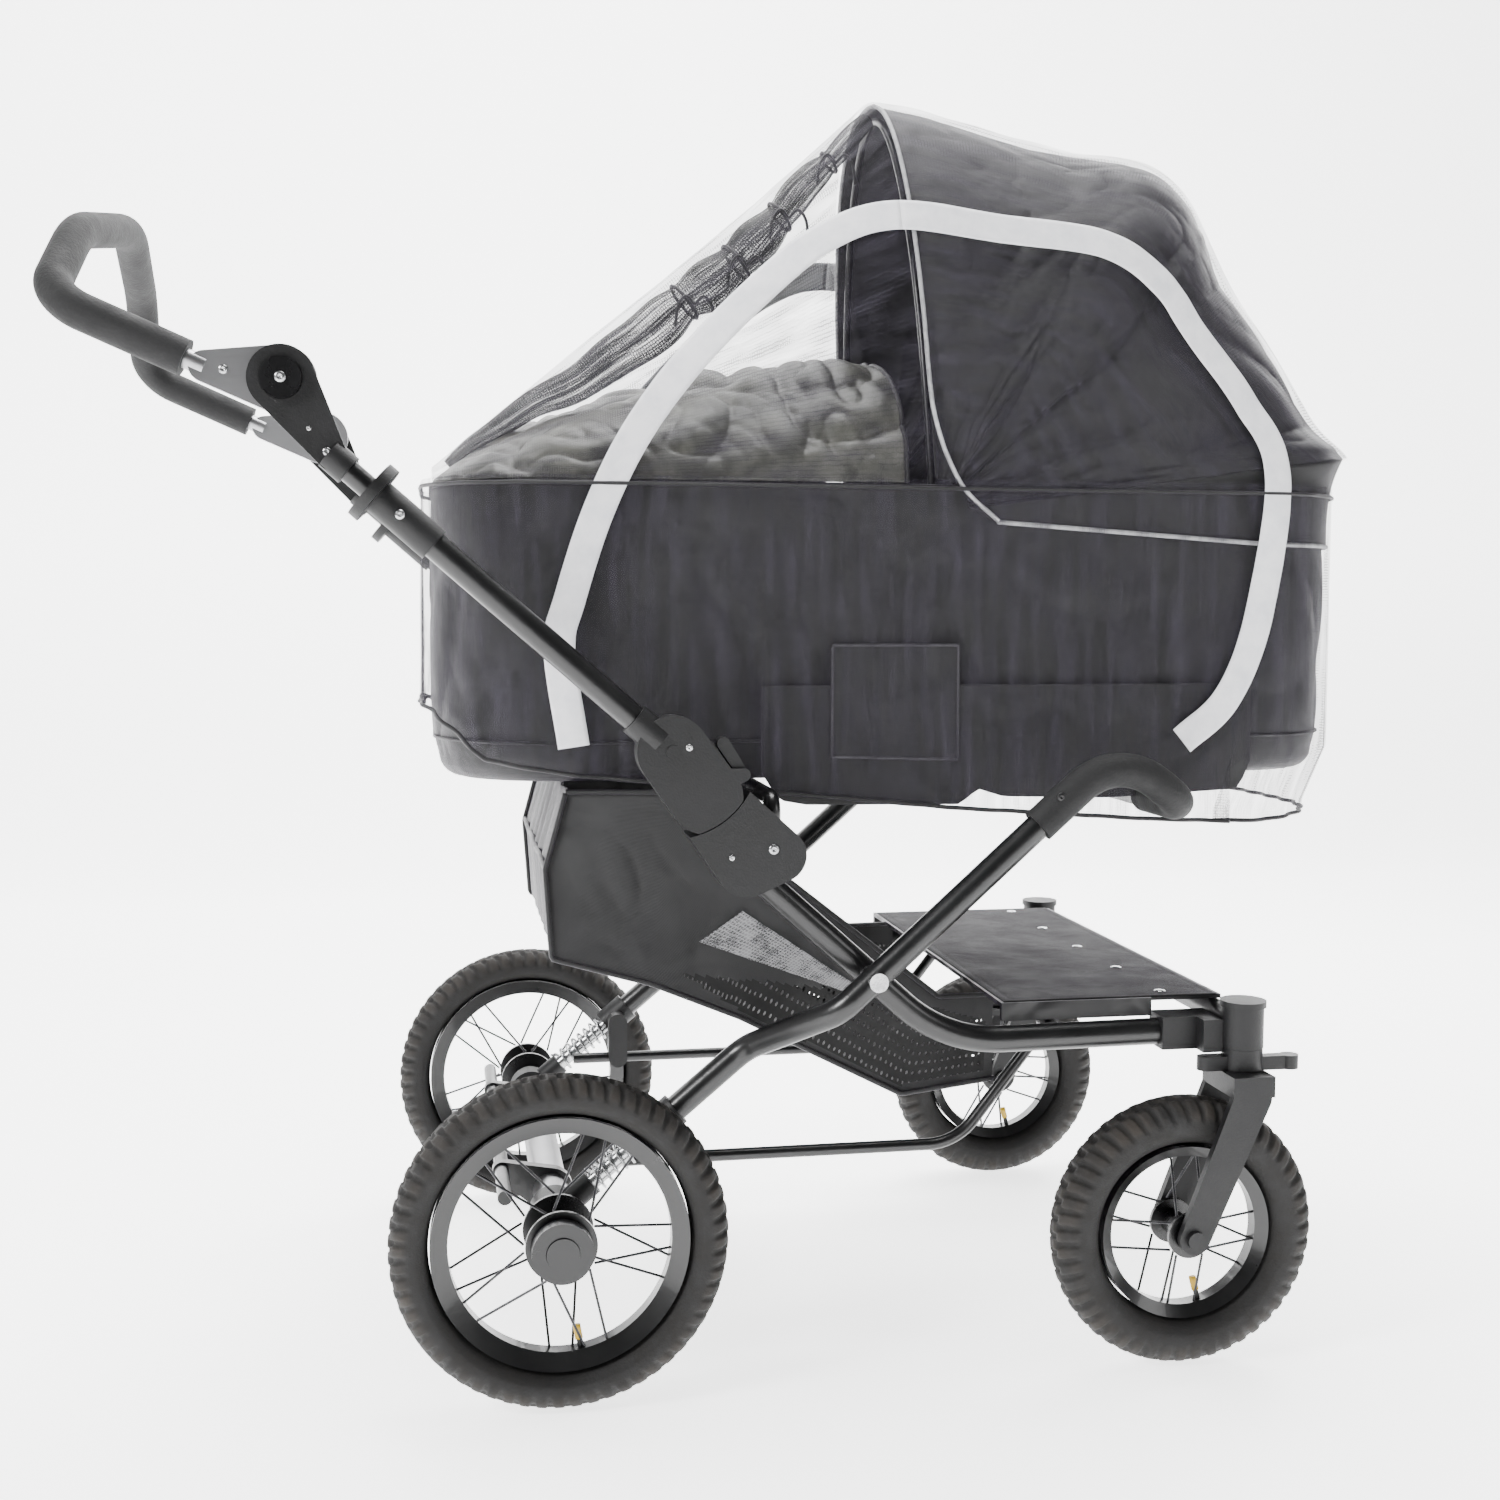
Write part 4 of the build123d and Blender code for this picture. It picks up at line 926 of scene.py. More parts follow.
def rounded(turn: np.ndarray, half: float, high: float, power: float,
            base: float) -> tuple[np.ndarray, np.ndarray]:
    """Superellipse arch cut off at a base height.

    Args:
        turn: angles from zero to pi.
        half: half width at the base.
        high: height of the crown.
        power: two for an ellipse, more for squarer shoulders.
        base: height where it is cut.

    Returns:
        Sideways and upward distances at each angle.
    """
    top = (1 - (base / high) ** power) ** (1 / power)
    c, s = np.cos(turn), np.abs(np.sin(turn))
    reach = (np.abs(c) ** power + s ** power) ** (-1 / power)
    return half * top * c * reach, base + (high - base) * s * reach


@dataclass(frozen=True)
class Hood:
    """The hood's arches, each on a ray from the pivot.

    rays hold the angle in degrees from the front, the reach and the arch's superellipse power.
    """

    pivot: tuple[float, float] = (380.0, 828.0)
    half: float = 198.6
    base: float = 34.0
    rays: tuple[tuple[float, float, float], ...] = (
        (94.0, 433.0, 2.4), (78.0, 420.0, 2.4), (65.0, 432.0, 2.4), (51.6, 471.0, 2.5),
        (34.4, 438.0, 2.9), (15.1, 450.0, 4.0), (8.0, 474.0, 5.5))

    def arch(self, ray: Sequence[float], count: int, grow: float = 0.0) -> np.ndarray:
        """Points along one arch from the right side over the top to the left side.

        Args:
            ray: angle, reach and power.
            count: number of points.
            grow: distance outside the CAD surface.

        Returns:
            Points in millimetres.
        """
        y, out = rounded(np.linspace(math.pi, 0, count), self.half + grow, ray[1] + grow, ray[2], self.base)
        aim = math.radians(ray[0])
        return np.column_stack([self.pivot[0] + out * math.cos(aim), y, self.pivot[1] + out * math.sin(aim)])

    def cover(self, count: int, around: int, grow: float = 0.0) -> np.ndarray:
        """Grid of arches from the front bow down to the head end.

        Args:
            count: number of arches.
            around: points along each.
            grow: distance outside the CAD surface.

        Returns:
            Points shaped (count, around, 3), in millimetres.
        """
        rays = smooth_curve([(a, r, p * 20) for a, r, p in self.rays], count)
        return np.array([self.arch((a, r, p / 20), around, grow) for a, r, p in rays])

    def hem(self, around: int, drop: float, grow: float) -> np.ndarray:
        """Lower edge round the cot's head end, evenly spaced from the right side to the left.

        Args:
            around: number of points.
            drop: how much lower the edge hangs at the head end than at the sides.
            grow: distance outside the cot's wall.

        Returns:
            Points in millimetres.
        """
        plan = COT.plan(2000, -grow - 3.6)
        plan = plan[plan[:, 0] > 440]
        plan = plan[np.argsort(np.unwrap(np.arctan2(plan[:, 1], plan[:, 0] - 440)))]
        length = np.concatenate([[0], np.cumsum(np.linalg.norm(np.diff(plan, axis=0), axis=1))])
        want = np.linspace(0, length[-1], around)
        edge = np.column_stack([np.interp(want, length, plan[:, i]) for i in (0, 1)])
        return np.column_stack([edge, 820 - drop * np.clip((edge[:, 0] - 440) / 290, 0, 1)])


HOOD = Hood()


def fold_with_hood(piece: bpy.types.Object, in_front: bool = False) -> None:
    """Bake a piece's place into its mesh, for a piece between the cot and the folding front bow.

    A line is worked out for it, on the middle bow's ray over the hood or from the foot end up to the
    front bow in front of it, but nothing uses it.

    Args:
        piece: a piece with its final mesh and no parent.
        in_front: whether the piece lies between the front bow and the foot end.
    """
    if in_front:
        line = [[FOOT_X + 10, 0, 875.0], [429.8, 0, 1308.3]]
    else:
        aim = math.radians(HOOD.rays[3][0])
        step = 400.0 * np.array([-math.sin(aim), 0, math.cos(aim)])
        middle = np.array([HOOD.pivot[0], 0, HOOD.pivot[1]])
        line = [middle - step, middle + step]
    start, end = place(np.array(line))
    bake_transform(piece)


class HoodCover(Maker):
    """The canvas hood: cover, back skirt and pale piping."""

    def build(self) -> None:
        """Make the pieces and put the cover in the CAD hood's place."""
        grid = HOOD.cover(150, 240, 0.3)
        rows, cols = grid.shape[:2]
        out = grid - np.array([HOOD.pivot[0], 0, HOOD.pivot[1]])
        out /= np.linalg.norm(out, axis=-1)[..., None]
        u, v = np.meshgrid(np.linspace(0, 1, rows), np.linspace(0, 1, cols), indexing="ij")
        flat = np.stack([u * 520, v * 900, u * 0], axis=-1)
        fold = creases(flat, 120, 41, (1.0, 1.7, 1)) * 6.0 + creases(flat, 46, 42, (1, 2, 1)) * 2.2 - 1.6
        edge = np.clip(u / 0.03, 0, 1) * np.clip((1 - u) / 0.06, 0, 1)
        bow_line = 1.4 * np.exp(-((u - 0.52) / 0.012) ** 2)
        grid += out * ((bow_line - np.clip(fold, -2.0, 5.5)) * edge)[..., None]
        cover = surface("hood_fabric", grid)
        wall(cover, CLOTH_THICK)
        self.finishes.dress(cover, "black_canvas")
        fold_with_hood(cover)
        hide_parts("hood_cover")

        top, low = HOOD.arch(HOOD.rays[-1], 200, 0.5), HOOD.hem(200, 20, 0.5)
        steps = np.linspace(0, 1, 14)[:, None, None]
        skirt = top[None] * (1 - steps) + low[None] * steps
        skirt[..., :2] += (0.8 * ripples(skirt, 90, 44) * np.sin(math.pi * steps[..., 0]))[..., None] * 0.7
        back = surface("hood_back_skirt", skirt)
        wall(back, CLOTH_THICK)
        self.finishes.dress(back, "black_canvas", "cot")
        self.piping(low)

    def piping(self, hem: np.ndarray) -> None:
        """Pale piping round the front opening and along the hem.

        Args:
            hem: points of the hem, in millimetres.
        """
        arch = HOOD.arch(HOOD.rays[0], 260, 0.8)
        arch = arch[arch[:, 2] > 962]
        corner = np.array([(441.0, 202.0, 821.0), (408.0, 201.5, 850.0), (388.0, 201.0, 885.0),
                           (375.0, 200.5, 925.0)])
        route = smooth_curve([*(corner * (1, -1, 1)), *arch[::8], *corner[::-1]], 260)
        fold_with_hood(self.finishes.dress(sweep("hood_front_piping", route, 2.3, 8), "light_grey_piping"))
        self.finishes.dress(sweep("hood_hem_piping", hem, 2.3, 8), "light_grey_piping", "cot")


def apron_rise(x: np.ndarray) -> np.ndarray:
    """Height of the foot cover's crown above the rim.

    Args:
        x: places along the cot, in millimetres.

    Returns:
        One height for each place.
    """
    return 143.0 * np.clip(1 - ((400.0 - x) / 510.0) ** 2, 0, 1) ** 0.75


class Apron(Maker):
    """The crumpled satin cover over the foot end, with its piped edge."""

    def build(self) -> None:
        """Make the cover from half-ellipse sections, crumple it and pipe its open edge."""
        stations = np.array([(-107.0, 112.0), (-88, 152), (-50, 183), (20, 193), (150, 194), (350, 194)])
        x = np.linspace(-107, 350, 170)
        half = np.interp(x, stations[:, 0], stations[:, 1])
        rise = np.maximum(apron_rise(x), 3)
        turn = np.linspace(math.pi, 0, 150)
        y = half[:, None] * np.cos(turn)[None]
        z = RIM_Z + 0.4 + rise[:, None] * np.sin(turn)[None]
        grid = np.stack([np.broadcast_to(x[:, None], y.shape), y, z], axis=-1)
        out = np.stack([y * 0, y / half[:, None] ** 2, (z - RIM_Z) / rise[:, None] ** 2], axis=-1)
        out /= np.linalg.norm(out, axis=-1)[..., None] + 1e-9
        crumple = (11.0 * creases(grid, 150, 51, (0.8, 1.5, 1)) + 4.5 * creases(grid, 58, 52, (0.8, 1.3, 1))
                   + 0.5 * ripples(grid, 17, 53))
        calm = np.clip(np.sin(turn)[None] / 0.25, 0, 1) * np.clip((x[:, None] + 107) / 60, 0, 1)
        grid += out * ((5.0 - crumple) * calm)[..., None]
        cover = surface("apron_fabric", grid)
        wall(cover, 1.0)
        self.finishes.dress(cover, "grey_satin", "cot")
        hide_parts("apron")
        self.finishes.dress(sweep("apron_piping", grid[-1], 2.4, 8), "black_canvas", "cot")


class WallTrim(Maker):
    """Pieces sewn on the cot's outside wall: the pocket patch and the hanging flaps."""

    def patch(self, name: str, side: Side, top: float, bottom: Sequence[Sequence[float]],
              lift: float) -> np.ndarray:
        """Lay a soft canvas panel on the straight part of the wall.

        Args:
            name: the piece's name.
            side: the wall that it lies on.
            top: height of its straight upper edge.
            bottom: x and z along its lower edge, from end to end.
            lift: distance off the wall.

        Returns:
            The points of its border.
        """
        xs = np.linspace(bottom[0][0], bottom[-1][0], 70)
        low = np.interp(xs, [b[0] for b in bottom], [b[1] for b in bottom])
        z = top + (low - top)[None, :] * np.linspace(0, 1, 60)[:, None]
        y = np.full(z.shape, side.value * (COT.half + lift))
        grid = np.stack([np.broadcast_to(xs, z.shape), y, z], axis=-1)
        grid[..., 1] += side.value * (0.3 * ripples(grid, 60, 61) + 0.2) * np.clip((top - z) / 40, 0, 1)
        panel = surface(name, grid)
        wall(panel, CLOTH_THICK, 0.0)
        self.finishes.dress(panel, "black_canvas", "cot")
        return np.concatenate([grid[0], grid[1:, -1], grid[-1, -2::-1], grid[-2:0:-1, 0]])

    def build(self) -> None:
        """Pocket patch with piping on the right side, a flap under the wall on both sides."""
        border = self.patch("pocket_patch", Side.RIGHT, 699, ((275, 590), (402, 586)), 5.4)
        self.finishes.dress(sweep("pocket_piping", border, 1.6, 8, True), "dim_piping", "cot")
        flap = ((205, 575), (222, 548), (250, 543), (405, 541), (424, 556), (450, 548), (560, 545),
                (700, 552),
                (712, 580))
        for side in Side:
            self.patch(f"wall_flap_{side.name.lower()}", side, 660, flap, 4.6)


class Net(Maker):
    """The insect net: a gathered skirt, the layer over the hood and the taut front, with its tapes.

    The outside points of all its parts are kept, so that the tapes can lie on them.
    """

    def __init__(self, finishes: Finishes) -> None:
        """Keep the finishes and start with no outside points.

        Args:
            finishes: every finish, by name.
        """
        super().__init__(finishes)
        self.outside: list[np.ndarray] = []

    def put(self, piece: bpy.types.Object, finish: str, grid: np.ndarray | None = None,
            where: str = "cot") -> None:
        """Dress a piece and let it ride with the cot, or else bake its place into its mesh.

        Args:
            piece: the piece.
            finish: its finish.
            grid: its points, kept for the tapes to lie on.
            where: "cot", "front" or "hood", the part of the net that it belongs to; only "cot" gives it a
                body to move with.
        """
        self.finishes.dress(piece, finish)
        if grid is not None:
            self.outside.append(grid.reshape(-1, 3))
        if where == "cot":
            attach(piece, "cot")
        else:
            fold_with_hood(piece, where == "front")

    def front(self) -> None:
        """Taut tent from the hood's front arch down to the foot end."""
        turn = np.linspace(math.pi, 0, 220)
        rows = [HOOD.arch((94.5, HOOD.rays[0][1], 2.4), 220, 4.5)]
        slope = (1260.0 - RIM_Z - 16) / (350.0 - FOOT_X)
        for x, half in ((60, 199.0), (-30, 197.0), (-86, 172.0), (-108, 140.0)):
            rise = 18 + slope * (x - FOOT_X)
            rows.append(np.column_stack([np.full(220, x), half * np.cos(turn),
                                         RIM_Z + 1 + rise * np.sin(turn)]))
        knots = np.array(rows)
        steps = np.concatenate([np.linspace(0, 1, 70, endpoint=False), np.linspace(1, 4, 60)])
        k = np.minimum(steps.astype(int), 3)
        grid = knots[k] + (knots[k + 1] - knots[k]) * (steps - k)[:, None, None]
        pull = np.sin(math.pi * np.clip(steps, 0, 1))[:, None] * np.sin(turn)[None] ** 0.5
        streak = np.abs(ripples(np.stack([grid[..., 0] * 0.1, grid[..., 1], grid[..., 2] * 0.6], axis=-1),
                                40, 71))
        grid[..., 1] *= 1 - 0.012 * streak * pull
        grid[..., 2] -= (3.0 * streak + 5) * pull * np.clip(np.sin(turn)[None], 0, 1)
        piece = surface("net_front", grid)
        self.put(piece, "black_net", grid, "front")
        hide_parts("net")

    def back(self) -> None:
        """Layer over the hood, resting on its arches."""
        grid = HOOD.cover(110, 200, 4.5)
        grid[..., 2] += 1.0 * ripples(grid, 80, 72)
        piece = surface("net_back", grid)
        self.put(piece, "black_net", grid, "hood")

    def skirt(self) -> None:
        """Gathered skirt round the cot: the hem falls lower towards the head end."""
        around = 900
        plan_top, plan_low = COT.plan(around, -7.0), COT.plan(around, -8.0)
        x = plan_low[:, 0]
        hem = np.interp(x, [-118, -60, 28, 411, 606, 690, 749, 850], [640, 590, 575, 537, 523, 519, 518,
                                                                      524])
        steps = np.linspace(0, 1, 36)[:, None]
        z = RIM_Z + 4 + (hem[None] - RIM_Z - 4) * steps
        grid = np.stack([plan_top[None, :, 0] * (1 - steps) + plan_low[None, :, 0] * steps,
                         plan_top[None, :, 1] * (1 - steps) + plan_low[None, :, 1] * steps, z], axis=-1)
        run = np.arange(around) / around * COT.length()
        wave = 2.2 * np.sin(2 * math.pi * run / (COT.length() / 54) + 1.5 * np.sin(run / 90))
        wave += 1.4 * np.sin(run / 31.0)
        core = np.column_stack([np.clip(x, FOOT_X + 130, COT.front - 130), np.clip(plan_low[:, 1], -70, 70)])
        out = plan_low - core
        out /= np.linalg.norm(out, axis=1)[:, None]
        under = np.clip((590 - z) / 60, 0, 1)
        grid[..., :2] += out[None] * (wave[None] * (0.25 + 0.75 * steps) + 1.5)[..., None]
        grid[..., :2] -= (grid[..., :2] - COT.middle()) * (0.05 * under)[..., None] * (x > 690)[None, :,
                                                                                                None]
        piece = surface("net_skirt", grid, False, True)
        self.put(piece, "black_net", grid)
        self.put(sweep("net_hem", grid[-1], 2.2, 8, True), "black_canvas")
        cord = grid[1] + np.column_stack([out * 0.6, out[:, :1] * 0])
        self.put(sweep("net_gather_cord", cord, 2.0, 8, True), "black_canvas")

    def tapes(self) -> None:
        """White cotton tape sewn on each side as an open loop, 30 mm wide."""
        route = smooth_curve(((22, 603), (9, 696), (19, 743), (47, 827), (85, 902), (142, 977), (219, 1054),
                              (276, 1098),
                              (340, 1119), (444, 1110), (556, 1099), (619, 1062), (657, 1010), (706, 943),
                              (735, 874),
                              (714, 724), (682, 644), (635, 602)), 260)
        along = np.gradient(route, axis=0)
        along /= np.linalg.norm(along, axis=1)[:, None]
        across = np.column_stack([-along[:, 1], along[:, 0]])
        cloud = np.concatenate(self.outside)
        for side in Side:
            half = cloud[cloud[:, 1] * side.value > 40]
            rows = []
            for offset in np.linspace(-15, 15, 9):
                xz = route + across * offset
                gap = ((xz[:, None, :] - half[None, :, (0, 2)]) ** 2).sum(axis=2)
                near = np.argpartition(gap, 6, axis=1)[:, :6]
                y = np.abs(half[near, 1]).mean(axis=1)
                y = np.convolve(np.pad(y, 6, mode="edge"), np.ones(13) / 13, mode="valid")
                rows.append(np.column_stack([xz[:, 0], side.value * (y + 3.0), xz[:, 1]]))
            grid = np.array(rows)
            grid[..., 1] += side.value * 0.5 * ripples(grid, 35, 73)
            split = int(np.argmax(route[:, 0] > 345))
            for where, part in (("front", grid[:, :split + 1]), ("hood", grid[:, split:])):
                tape = surface(f"net_tape_{where}_{side.name.lower()}", part)
                wall(tape, CLOTH_THICK, 0.0)
                self.put(tape, "white_cotton_tape", where=where)

    def bundle(self) -> None:
        """Surplus net gathered into a rope along the top of the taut front, held by black ties."""
        line = smooth_curve(((-92, -42, 880), (-20, -60, 930), (100, -78, 1004), (196, -80, 1084),
                             (250, -70, 1140),
                             (304, -52, 1198), (345, -34, 1246)), 240)
        t = np.linspace(0, 1, 240)
        line[:, 2] += 2.5 * np.sin(t * 17) + 1.5 * np.sin(t * 41)
        ties = np.array([0.5, 0.62, 0.74, 0.88])  # shares of the rope's length
        pinch = np.min(np.abs(t[:, None] - ties[None]), axis=1)
        size = np.interp(t, [0, 0.2, 0.4, 0.6, 0.8, 1], [5, 15, 24, 26, 17, 9])
        radius = size * (1 - 0.22 * np.exp(-(pinch / 0.03) ** 2)) * (1 + 0.02 * np.sin(t * 60))
        self.put(sweep("net_bundle", line, radius, 36), "gathered_net", where="front")
        for number, at in enumerate(ties):
            here = int(at * 239)
            centre, wide = line[here], radius[here] + 1.2
            turn = np.linspace(0, 2 * math.pi, 40, endpoint=False)
            ring = centre + wide * np.column_stack([np.sin(turn) * -0.65, np.cos(turn), np.sin(turn) * 0.76])
            loops = [sweep("t", ring, 1.7, 6, True)]
            for sign in (-1, 1):
                knot = centre + np.array([0.4, -0.9, -0.25]) * wide
                bends = ((0, 0, 0), (sign * 9, -3, 8), (sign * 17, -4, -2), (sign * 20, -3, -22))
                loops.append(sweep("t", smooth_curve([knot + bend for bend in bends], 24), 1.6, 6))
            self.put(join(f"net_tie_{number + 1}", loops), "black_canvas", where="front")

    def build(self) -> None:
        """Make every part of the net."""
        self.front()
        self.back()
        self.skirt()
        self.tapes()
        self.bundle()


class Basket(Maker):
    """The hammock-shaped basket: punched sides with a mesh window, pleated back and bound edges.

    LOW and HIGH are x and z along the lower and the upper edge, HALF is half its width.
    """

    LOW = ((442.0, 262.0), (347.0, 250.0), (184.0, 334.0), (95.0, 371.0), (0.0, 398.0), (-6.0, 485.0),
           (14.0, 558.0))
    HIGH = ((442.0, 348.0), (385.0, 347.5), (250.0, 454.0), (118.0, 558.0), (66.0, 558.5), (40.0, 558.8),
            (14.0, 559.0))
    PUNCHED = ((118.0, 385.0), (190.0, 338.0), (345.0, 260.0), (432.0, 270.0), (434.0, 338.0),
               (330.0, 352.0),
               (150.0, 405.0))
    WINDOW = ((143.0, 411.0), (290.0, 356.0), (298.0, 364.0), (186.0, 440.0))
    HALF = 203.0

    @staticmethod
    def trace(points: Sequence[Sequence[float]], count: int) -> np.ndarray:
        """Walk a broken line, with as many points between one pair of corners as the next.

        Args:
            points: the corners, as x and z.
            count: number of points.

        Returns:
            x and z of each point.
        """
        p = np.array(points)
        t = np.linspace(0, len(p) - 1, count)
        return np.stack([np.interp(t, np.arange(len(p)), p[:, i]) for i in (0, 1)], axis=1)

    def build(self) -> None:
        """Make the walls and bindings and put them in the CAD basket's place."""
        low, high = self.trace(self.LOW, 120), self.trace(self.HIGH, 120)
        across = np.linspace(-self.HALF, self.HALF, 130)
        self.bed(low, across)
        for side in Side:
            self.side_wall(low, high, side)
            self.window(side)
            for name, line in (("top", high), ("bottom", low)):
                edge = np.column_stack([line[:, 0], np.full(120, side.value * (self.HALF - 1.0)),
                                        line[:, 1] + 0.5])
                self.bind(f"basket_{name}_binding_{side.name.lower()}", edge, 2.6)
        lip = np.column_stack([np.full(130, -5.0), across, 486 + 1.5 * np.sin(across / 23)])
        self.bind("basket_back_binding", lip, 3.0)

    def bind(self, name: str, line: np.ndarray, radius: float) -> None:
        """Bind an edge with a rolled strip of canvas.

        Args:
            name: the piece's name.
            line: points of the edge, in millimetres.
            radius: of the roll.
        """
        self.finishes.dress(sweep(name, line, radius, 8), "black_canvas", "chassis")

    def bed(self, low: np.ndarray, across: np.ndarray) -> None:
        """Make the sagging floor, which turns up into the pleated back wall.

        Args:
            low: x and z along the lower edge.
            across: y of each column.
        """
        xz = np.broadcast_to(low[:, None], (len(low), len(across), 2))
        grid = np.stack([xz[..., 0], np.broadcast_to(across, xz.shape[:2]), xz[..., 1]], axis=-1)
        back = np.clip((np.linspace(0, 1, len(low))[:, None] - 0.6) / 0.2, 0, 1)
        sag = np.sin(math.pi * (across[None] + self.HALF) / (2 * self.HALF))
        grid[..., 2] += (1 - back) * sag * 3.0 * (ripples(grid, 90, 81) - 0.2) + 1.6
        pleat = 2.4 * np.sin(across / 9.0 + 0.8 * np.sin(across / 37.0))
        grid[..., 0] += back * sag ** 0.3 * (pleat[None] + 2.0) + 1.6
        floor = surface("basket_floor", grid)
        wall(floor, 1.6, 0.0)
        self.finishes.dress(floor, "black_canvas", "chassis")
        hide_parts("basket")

    def side_wall(self, low: np.ndarray, high: np.ndarray, side: Side) -> None:
        """Make one side from edge to edge, with a punched patch.

        Args:
            low: x and z along the lower edge.
            high: x and z along the upper edge.
            side: which side.
        """
        steps = np.linspace(0, 1, 46)[:, None, None]
        xz = low[None] * (1 - steps) + high[None] * steps
        panel = np.stack([xz[..., 0], np.full(xz.shape[:2], side.value * (self.HALF - 1.2)), xz[..., 1]],
                         axis=-1)
        belly = np.sin(math.pi * steps[..., 0]) * np.clip(1.2 - np.linspace(0, 1, len(low)), 0, 1)
        panel[..., 1] -= side.value * belly * (5.0 * np.clip(creases(panel, 80, 82, (1, 1, 2)), 0, 2) + 0.8)
        cloth = surface(f"basket_side_{side.name.lower()}", panel)
        self.finishes.dress(cloth, "black_canvas", "chassis")
        self.finishes.region(cloth, "perforated_cloth", self.PUNCHED)

    def window(self, side: Side) -> None:
        """Lay the pale mesh window between its four corners on one side."""
        a, b, c, d = (np.array(corner) for corner in self.WINDOW)
        u, v = np.linspace(0, 1, 60)[:, None, None], np.linspace(0, 1, 30)[None, :, None]
        pane = (1 - v) * ((1 - u) * a + u * b) + v * ((1 - u) * d + u * c)
        y = np.full(pane.shape[:2], side.value * (self.HALF - 0.4))
        mesh = surface(f"basket_window_{side.name.lower()}", np.stack([pane[..., 0], y, pane[..., 1]],
                                                                      axis=-1))
        self.finishes.dress(mesh, "mesh_window", "chassis")


class DeckMat(Maker):
    """The footboard's cloth-textured mat with a pressed border, and the rivets along its front."""

    RIVET_X = 605.0
    RIVET_PITCH = 117.5
    #: radius and height of the dome's rings, in millimetres
    DOME = ((6.0, 0.2), (5.6, 0.9), (4.0, 1.5), (2.0, 1.8), (0.0, 1.9))

    def build(self) -> None:
        """Lay a mat on the board, with rounded edges and a stitched line round it, and set the rivets."""
        low, high = (np.array(c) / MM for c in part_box("deck_panel"))
        x0, x1 = low[0] - REAR_AXLE_X / MM + 3, high[0] - REAR_AXLE_X / MM - 3
        y1 = high[1] - 3
        x, y = np.meshgrid(np.linspace(x0, x1, 110), np.linspace(-y1, y1, 200), indexing="ij")
        edge = np.minimum.reduce([x - x0, x1 - x, y + y1, y1 - y])
        z = high[2] + 0.1 + 0.9 * np.clip(edge / 3, 0, 1) ** 0.5 - 0.45 * np.exp(-((edge - 9) / 1.4) ** 2)
        grid = np.stack([x, y, z], axis=-1)
        grid[..., 2] += 0.12 * ripples(grid, 40, 91)
        mat = surface("deck_mat", grid)
        wall(mat, 0.9)
        self.finishes.dress(mat, "black_lining", "chassis")
        turn = np.linspace(0, 2 * math.pi, 24, endpoint=False)
        circle = np.column_stack([np.cos(turn), np.sin(turn), np.zeros(24)])
        for number in range(5):
            centre = np.array([self.RIVET_X, (number - 2) * self.RIVET_PITCH, high[2] + 0.4])
            dome = np.array([centre + radius * circle + (0, 0, rise) for radius, rise in self.DOME])
            rivet = surface(f"deck_rivet_{number + 1}", dome, False, True, 1e-6)
            self.finishes.dress(rivet, "zinc_plated_steel", "chassis")


# ------------------------------------------------------------------ the whole stroller


SLOT_FINISH = {
    "frame_paint": "black_powder_coat", "black_nylon": "moulded_black_nylon", "grip_foam": "black_eva_foam",
    "button_plastic": "moulded_black_abs", "hub_plastic": "moulded_black_abs", "tyre_rubber": "tyre_rubber",
    "bare_aluminium": "satin_aluminium", "bright_steel": "zinc_plated_steel",
    "rim_black": "black_rim_enamel",
    "spoke_steel": "dark_spoke_wire", "black_canvas": "black_canvas", "mattress_cover": "black_lining",
    "grey_satin": "grey_satin", "fine_net": "black_net",
}
TYRES = (Tyre("rear", 156.0, 237.0, 46.0, 60, 0.0), Tyre("front", 132.0, 170.0, 48.0, 48, 604.0))
VALVES = (Valve("rear", 0.0, 156.0, 110.0, math.radians(-80)),
          Valve("front", 604.0, 132.0, 80.0, math.radians(-75)))
SCREWS = (
    ScrewHead("joint_screw", "angle_button_{side}", "angle_button_{side}", (-235.0, 933.0), 5.0),
    ScrewHead("arm_screw", "hinge_arms", "telescope", (-197.0, 870.3)),
    ScrewHead("arm_pin", "hinge_arms", "telescope", (-212.0, 890.0), 2.2, 1.0),
    ScrewHead("bracket_screw", "grip_frame", "grip", (-284.0, 940.5), 4.2),
    ScrewHead("collar_screw", "release_collar_{side}", "collar_{side}", (-135.4, 816.2), 4.4),
    ScrewHead("fold_screw", "upper_housings", "handle", (119.6, 608.9), 3.4, 1.4),
    ScrewHead("housing_screw", "lower_housings", "chassis", (198.0, 514.0), 5.0),
    ScrewHead("housing_pin", "lower_housings", "chassis", (159.0, 507.0), 2.8, 1.2),
    ScrewHead("arch_screw", "arch_foam", "chassis", (470.0, 559.0), 4.0, 1.6, "moulded_black_abs"),
)


class Stroller:
    """The stroller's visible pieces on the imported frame."""

    def __init__(self) -> None:
        """Build the finishes."""
        self.finishes = Finishes()

    def paint_frame(self) -> None:
        """Swap each CAD node's plain colour for the finish of its slot."""
        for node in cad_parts.values():
            for slot in node.material_slots:
                has = slot.material.name if slot.material else ""
                name = next((key for key in SLOT_FINISH if has.startswith(key)), None)
                if name is None:
                    LOG.warning("no finish for %s on %s", slot.material, node.name)
                else:
                    slot.material = self.finishes.by_name[SLOT_FINISH[name]]

    def build(self) -> None:
        """Make every piece."""
        self.paint_frame()
        for side in Side:
            for tyre in TYRES:
                tyre.build(side, self.finishes)
            for valve in VALVES:
                valve.build(side, self.finishes)
            for screw in SCREWS:
                screw.build(side, self.finishes)
        coil_spring(self.finishes)
        cot = Cot(self.finishes)
        cot.shell()
        cot.piping_round()
        cot.cushion()
        for maker in (HoodCover, Apron, WallTrim, Net, Basket, DeckMat):
            maker(self.finishes).build()


